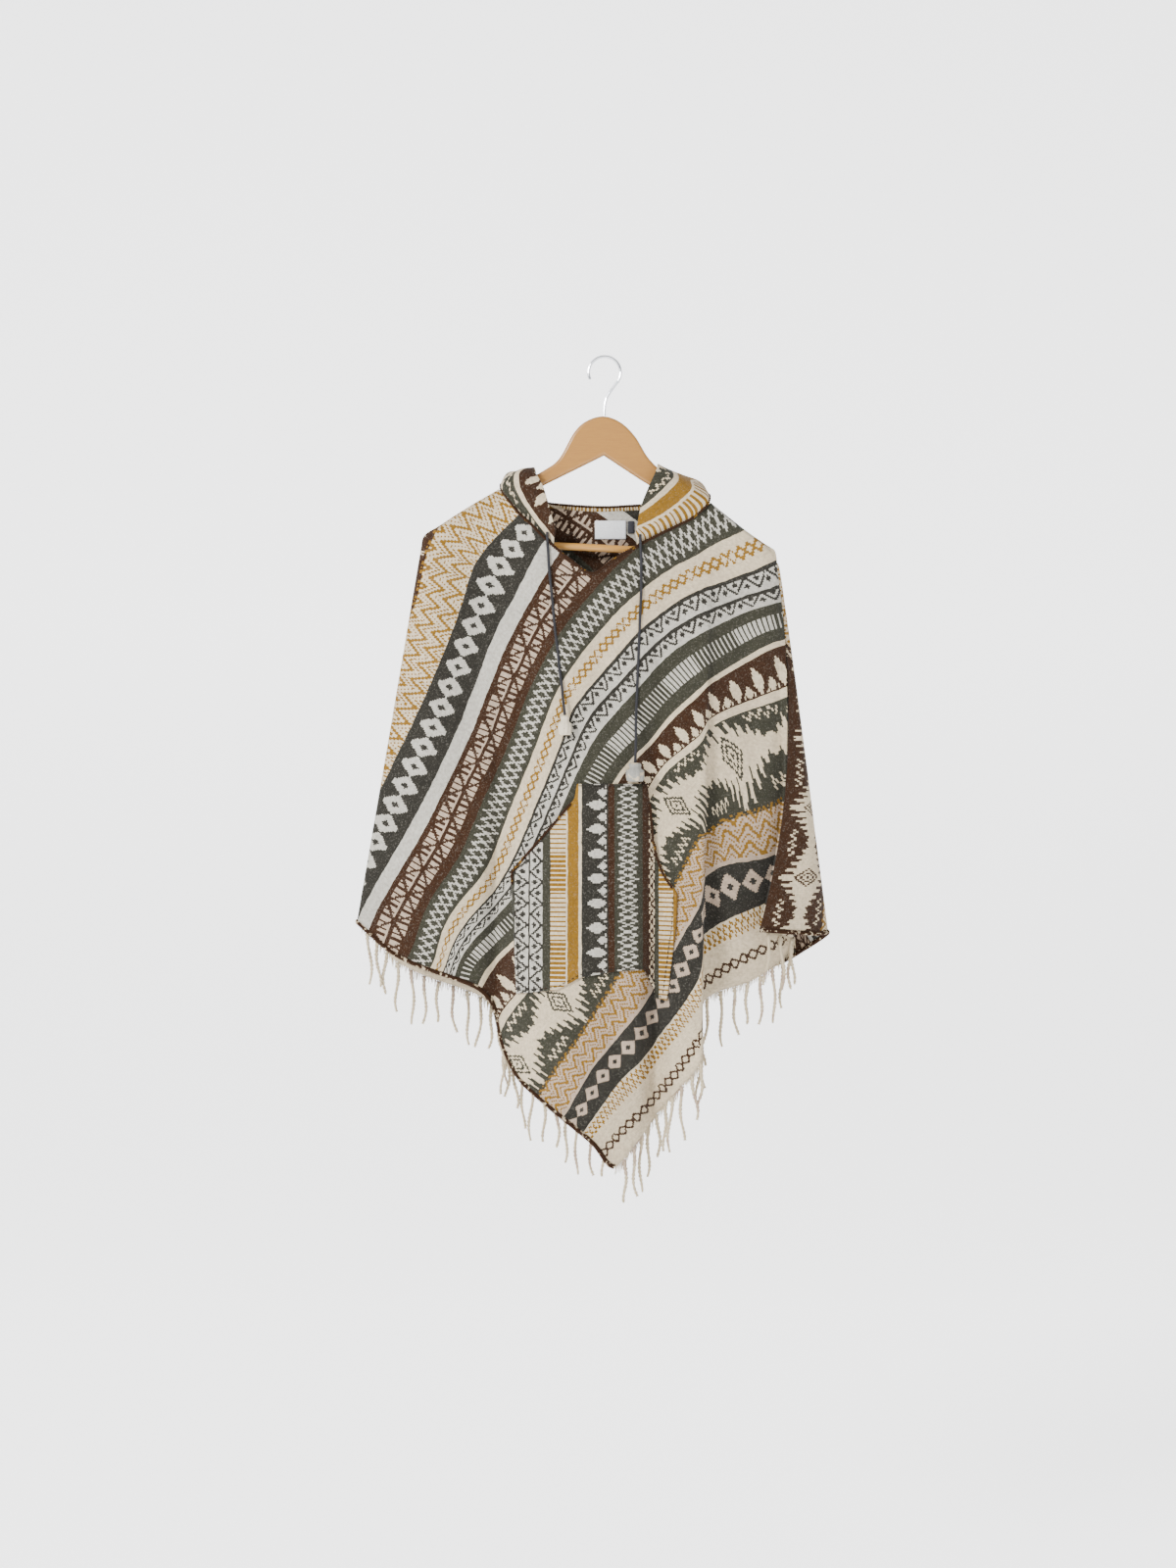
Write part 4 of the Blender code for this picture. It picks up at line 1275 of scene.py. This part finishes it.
BANDS = (
    # end in millimetres, ground, and where it has one its motif with its yarn and repeat
    (-6, BROWN), (78, BROWN, star, CREAM, 86), (142, CREAM, chevrons, MUSTARD, 21), (147, DARK),
    (181, DARK, diamonds, PALE, 27), (186, DARK), (200, PALE), (207, BROWN),
    (240, BROWN, ladder, MAUVE, 38), (249, BROWN), (287, GREEN, zigzag_net, PALE, 21), (297, CREAM),
    (309, CREAM, crosses, MUSTARD, 11), (319, CREAM), (323, DARK), (338, PALE, triangles, DARK, 26),
    (342, DARK), (357, PALE, triangles, DARK, 26), (377, GREEN), (400, GREEN, comb, PALE, 5.6),
    (415, GREEN), (424, CREAM), (474, BROWN, spears, CREAM, 30), (483, CREAM),
    (567, GREEN, star, CREAM, 96), (607, MAUVE, chevrons, MUSTARD, 21), (649, DARK, beads, MAUVE, 24),
    (676, CREAM, zigzag_net, MUSTARD, 15), (694, CREAM), (708, CREAM, crosses, BROWN, 12), (900, CREAM),
)
POCKET_BANDS = (
    # end in millimetres across, from the left
    (-112, GREEN), (-94, PALE, triangles, DARK, 26), (-91, DARK), (-76, PALE, triangles, DARK, 26),
    (-66, GREEN), (-46, CREAM, comb, MUSTARD, 5.6), (-33, MUSTARD), (-29, CREAM),
    (2, DARK, spears, PALE, 30), (11, BROWN), (45, GREEN, zigzag_net, PALE, 17), (53, BROWN),
    (60, CREAM, crosses, BROWN, 11), (66, GREEN), (84, CREAM, comb, MUSTARD, 5.6), (140, MUSTARD),
)
HOOD_BANDS = (
    # end in millimetres from the neck seam
    (4, BROWN), (34, CREAM, comb, MUSTARD, 7), (54, MUSTARD), (62, CREAM),
    (120, GREEN, star, CREAM, 88), (128, CREAM), (160, BROWN, spears, CREAM, 30), (168, CREAM),
    (192, GREEN, comb, PALE, 5.6), (230, GREEN, zigzag_net, PALE, 17), (262, BROWN, ladder, MAUVE, 38),
    (300, DARK, diamonds, PALE, 27), (360, CREAM, chevrons, MUSTARD, 21), (500, BROWN),
)

print("bands", len(BANDS), "pocket", len(POCKET_BANDS), "hood", len(HOOD_BANDS))

# %% [markdown]
# A blanket is woven thread by thread, so the motifs step by one thread. The grounds come from a colour
# ramp across the bands; each motif is then mixed on. Wool is never one flat colour: each thread gets
# its own shade, and slow noise makes the heather. Ribs and fuzz go to the bump.

# %% The blanket cloth
THREAD = 1.9
RIB = 2.2
DRIFT = 2.2
WOOL_SHEEN = {"Sheen_Weight": 0.05, "Sheen_Roughness": 0.6}


def blanket(name, bands, low):
    """The weave of a table of bands, whose first band starts at low."""
    made, tree, shader = new_material(name, 0.93, Specular_IOR_Level=0.08, **WOOL_SHEEN)
    kept = node(tree, "ShaderNodeAttribute", {"attribute_name": "weave"}, output=1)
    along, across, lean = kept.parts()
    spot = node(tree, "ShaderNodeTexCoord", output=3)
    across = across + (spot.noise(90.0) - 0.5) * DRIFT
    row = across.snap(THREAD)
    half = THREAD / 2
    high = bands[-1][0]
    starts = [low] + [end for end, *_ in bands]
    stops = [((start - low) / (high - low), band[1]) for start, band in zip(starts, bands)]
    place_on = (row - low + half) * (1 / (high - low))
    settings = {"stops": stops, "interpolation": "CONSTANT"}
    colour = node(tree, "ShaderNodeValToRGB", settings, {0: place_on})
    for start, (end, _, *figure) in zip(starts, bands):
        if figure:
            motif, colour_on, repeat = figure
            straight = (along + lean * (across - (start + end) / 2)).snap(THREAD)
            q = (row - start + half) * (1 / (end - start))
            inside = (row > start - half) & (row < end - half)
            colour = mix_colour(tree, motif(straight * (1 / repeat), q) & inside, colour, colour_on)
    pick = node(tree, "ShaderNodeCombineXYZ", {}, {0: along.snap(RIB), 1: row, 2: 0.0})
    shade = node(tree, "ShaderNodeTexWhiteNoise", {"noise_dimensions": "3D"}, {"Vector": pick})
    heather, lint = spot.noise(260.0, 3.0), spot.noise(620.0, 1.0)
    light = shade * 0.22 + heather * 0.55 + spot.noise(14.0) * 0.3 + 0.42
    colour = mix_colour(tree, (lint > 0.62) * 0.11, shaded(tree, colour, light), PALE)
    feed(shader, "Base Color", colour)
    ribs = (along * (1 / RIB)).saw() * 0.5 + (across * (1 / THREAD)).saw() * 0.5
    raise_up(shader, ribs * 0.55 + heather * 0.9 + lint * 0.35, 0.55, 0.0011)
    print(name, len(tree.nodes), "nodes")
    return made


blanket_cloth = blanket("blanket_weave", BANDS, -80)
pocket_cloth = blanket("pocket_weave", POCKET_BANDS, -130)
hood_cloth = blanket("hood_weave", HOOD_BANDS, 0)
dress(front_piece, blanket_cloth)
dress(back_piece, blanket_cloth)
dress(pocket_piece, pocket_cloth)
dress(hood_piece, hood_cloth)

# %% [markdown]
# The twisted edges, fringe, cord and cord ends are yarn too, but small enough that their plies are
# real shape. Their materials add the colour drift and the fibres, painted shade in the cord's grooves,
# and painted shade that makes the right cord end grey.

# %% Yarns, ribbon and cord
def yarn(name, colour, other, fleck, fleck_scale, roughness=0.95):
    """A fibrous colour with flecks of another where slow noise is over a limit."""
    made, tree, shader = new_material(name, roughness, Sheen_Weight=0.05, Specular_IOR_Level=0.1)
    spot = node(tree, "ShaderNodeTexCoord", output=3)
    fine = spot.noise(900.0)
    mixed = mix_colour(tree, (spot.noise(fleck_scale) > fleck) * 0.9, colour, other)
    feed(shader, "Base Color", shaded(tree, mixed, fine * 0.6 + 0.7))
    raise_up(shader, fine, 0.6, 0.0006)
    return made


dress(hem_piece, yarn("overlock_yarn", BROWN, CREAM, 0.60, 210.0))
binding = yarn("binding_yarn", BROWN, MUSTARD, 0.64, 120.0)
for piece in (neck_piece, hood_seam, pocket_binding):
    dress(piece, binding)
dress(pocket_sewing, yarn("sewing_yarn", DARK, BROWN, 0.60, 120.0))
fringe_yarn = yarn("fringe_cream", (0.44, 0.365, 0.25), MAUVE, 0.60, 24.0)
dress(front_fringe, fringe_yarn)
dress(back_fringe, fringe_yarn)
dress(ends["left"], yarn("wrapped_cream", (0.56, 0.49, 0.37), MAUVE, 0.66, 90.0))
# The right cord end is the same cream wrapping as the left one; its grey colour with cream flecks is painted
# shade.
dress(ends["right"], yarn("wrapped_cream_painted_shade", (0.24, 0.235, 0.21), CREAM, 0.58, 130.0))
dress(label_piece, yarn("white_ribbon", (0.62, 0.63, 0.64), PALE, 0.80, 60.0, 0.55))
dress(tab_piece, yarn("dark_ribbon", (0.03, 0.03, 0.035), DARK, 0.7, 60.0, 0.6))


def braided_cord():
    """Two sets of slanted ridges, one each way, with painted shade in the grooves between them."""
    made, tree, shader = new_material("braided_black", 0.7, Specular_IOR_Level=0.3)
    spot = node(tree, "ShaderNodeTexCoord", output=3)
    x, y, z = spot.parts()
    one = ((z + x * 1.2 + y * 1.2) * 420).saw()
    other = ((z - x * 1.2 - y * 1.2) * 420).saw()
    plait = one | other
    # Painted shade: the grooves get a darker black than the ridges.
    low, high = (0.004, 0.004, 0.005), (0.022, 0.022, 0.026)
    feed(shader, "Base Color", mix_colour(tree, plait, low, high))
    raise_up(shader, plait, 0.7, 0.0006)
    return made


cord_black = braided_cord()
for cord, _ in cords.values():
    dress(cord, cord_black)

# %% [markdown]
# The hanger's bar and hook keep their solids. All its wood gets long grain lines under a clear
# varnish, and the hook is plain bright steel with faint drawing marks.

# %% Wood and steel
def wood(name, pale, deep, stretch):
    """Varnished wood, whose grain is noise drawn out along X."""
    made, tree, shader = new_material(name, 0.42, Coat_Weight=0.35, Coat_Roughness=0.18)
    spot = node(tree, "ShaderNodeTexCoord", output=3)
    settings = {"operation": "MULTIPLY"}
    long = node(tree, "ShaderNodeVectorMath", settings, {0: spot, 1: stretch})
    grain = long.noise(60.0, 5.0, 0.6)
    lines = grain * 0.75 + (long.noise(420.0) > 0.6) * 0.12
    feed(shader, "Base Color", mix_colour(tree, lines, pale, deep))
    feed(shader, "Roughness", grain * 0.2 + 0.32)
    raise_up(shader, lines, 0.12, 0.0005)
    return made


def steel():
    made, tree, shader = new_material("hook_steel", 0.22, Metallic=1.0)
    spot = node(tree, "ShaderNodeTexCoord", output=3)
    marks = spot.noise(300.0)
    feed(shader, "Base Color", mix_colour(tree, marks, (0.42, 0.43, 0.45), (0.66, 0.67, 0.69)))
    feed(shader, "Roughness", marks * 0.2 + 0.12)
    return made


dress(arms, wood("arm_wood", (0.34, 0.158, 0.022), (0.22, 0.088, 0.010), (1.0, 4.0, 9.0)))
nodes = frame["nodes"]
finishes = {
    "hanger_bar": wood("rod_wood", (0.50, 0.245, 0.035), (0.34, 0.145, 0.016), (0.8, 9.0, 9.0)),
    "hanger_hook": steel(),
}
for name, material in finishes.items():
    for slot in nodes[name].material_slots:
        slot.material = material
    print(name, material.name)

# %% [markdown]

# %% [markdown]
# The picture has a white surround, with one broad soft light from the upper left, so a faint shadow
# falls to the lower right. A wide curved sweep gives wall and floor without a line, and it lies far
# enough behind that the garment can be looked at from all sides.

# %% Backdrop and light
WALL_Y = 3.6
FLOOR_Z = -1.62
SWEEP = 1.5
WALL_GLOW = 1.5
WALL_TOP = 7.0
WALL_SIDE = 9.0
FLOOR_START = -8.0
GARMENT = (0.0, 0.0, -0.6)


def backdrop():
    """A white sweep behind and under the garment, which stays out of the part."""
    corner = np.linspace(0, math.pi / 2, 16)
    ys = np.concatenate([[FLOOR_START], WALL_Y - SWEEP + SWEEP * np.sin(corner), [WALL_Y]])
    zs = np.concatenate([[FLOOR_Z], FLOOR_Z + SWEEP - SWEEP * np.cos(corner), [WALL_TOP]])
    points = [(x, y, z) for x in (-WALL_SIDE, WALL_SIDE) for y, z in zip(ys, zs)]
    count = len(ys)
    faces = [(k, k + count, k + count + 1, k + 1) for k in range(count - 1)]
    mesh = bpy.data.meshes.new("backdrop")
    mesh.from_pydata(points, [], faces)
    mesh.shade_smooth()
    thing = bpy.data.objects.new("backdrop", mesh)
    bpy.context.scene.collection.objects.link(thing)
    paint, _, shader = new_material("backdrop_paint", 0.9)
    shader.inputs["Base Color"].default_value = (0.93, 0.93, 0.935, 1.0)
    shader.inputs["Emission Color"].default_value = (1.0, 1.0, 1.0, 1.0)
    shader.inputs["Emission Strength"].default_value = WALL_GLOW
    dress(thing, paint)


def soft_light(name, location, aim, size, power):
    lamp = bpy.data.lights.new(name, "AREA")
    lamp.size = size
    lamp.energy = power
    thing = bpy.data.objects.new(name, lamp)
    thing.location = location
    way = Vector(aim) - Vector(location)
    thing.rotation_euler = way.to_track_quat("-Z", "Y").to_euler()
    bpy.context.scene.collection.objects.link(thing)


backdrop()
soft_light("key", (-2.1, -2.4, 1.0), GARMENT, 0.9, 190.0)
soft_light("fill", (2.4, -2.8, -0.2), GARMENT, 2.2, 18.0)
world = bpy.data.worlds.new("studio")
world.use_nodes = True
sky = world.node_tree.nodes["Background"]
sky.inputs["Color"].default_value = (0.98, 0.99, 1.0, 1.0)
sky.inputs["Strength"].default_value = 0.95
bpy.context.scene.world = world

# %% [markdown]
# Last, the view layer is brought up to date.

# %% Update
bpy.context.view_layer.update()
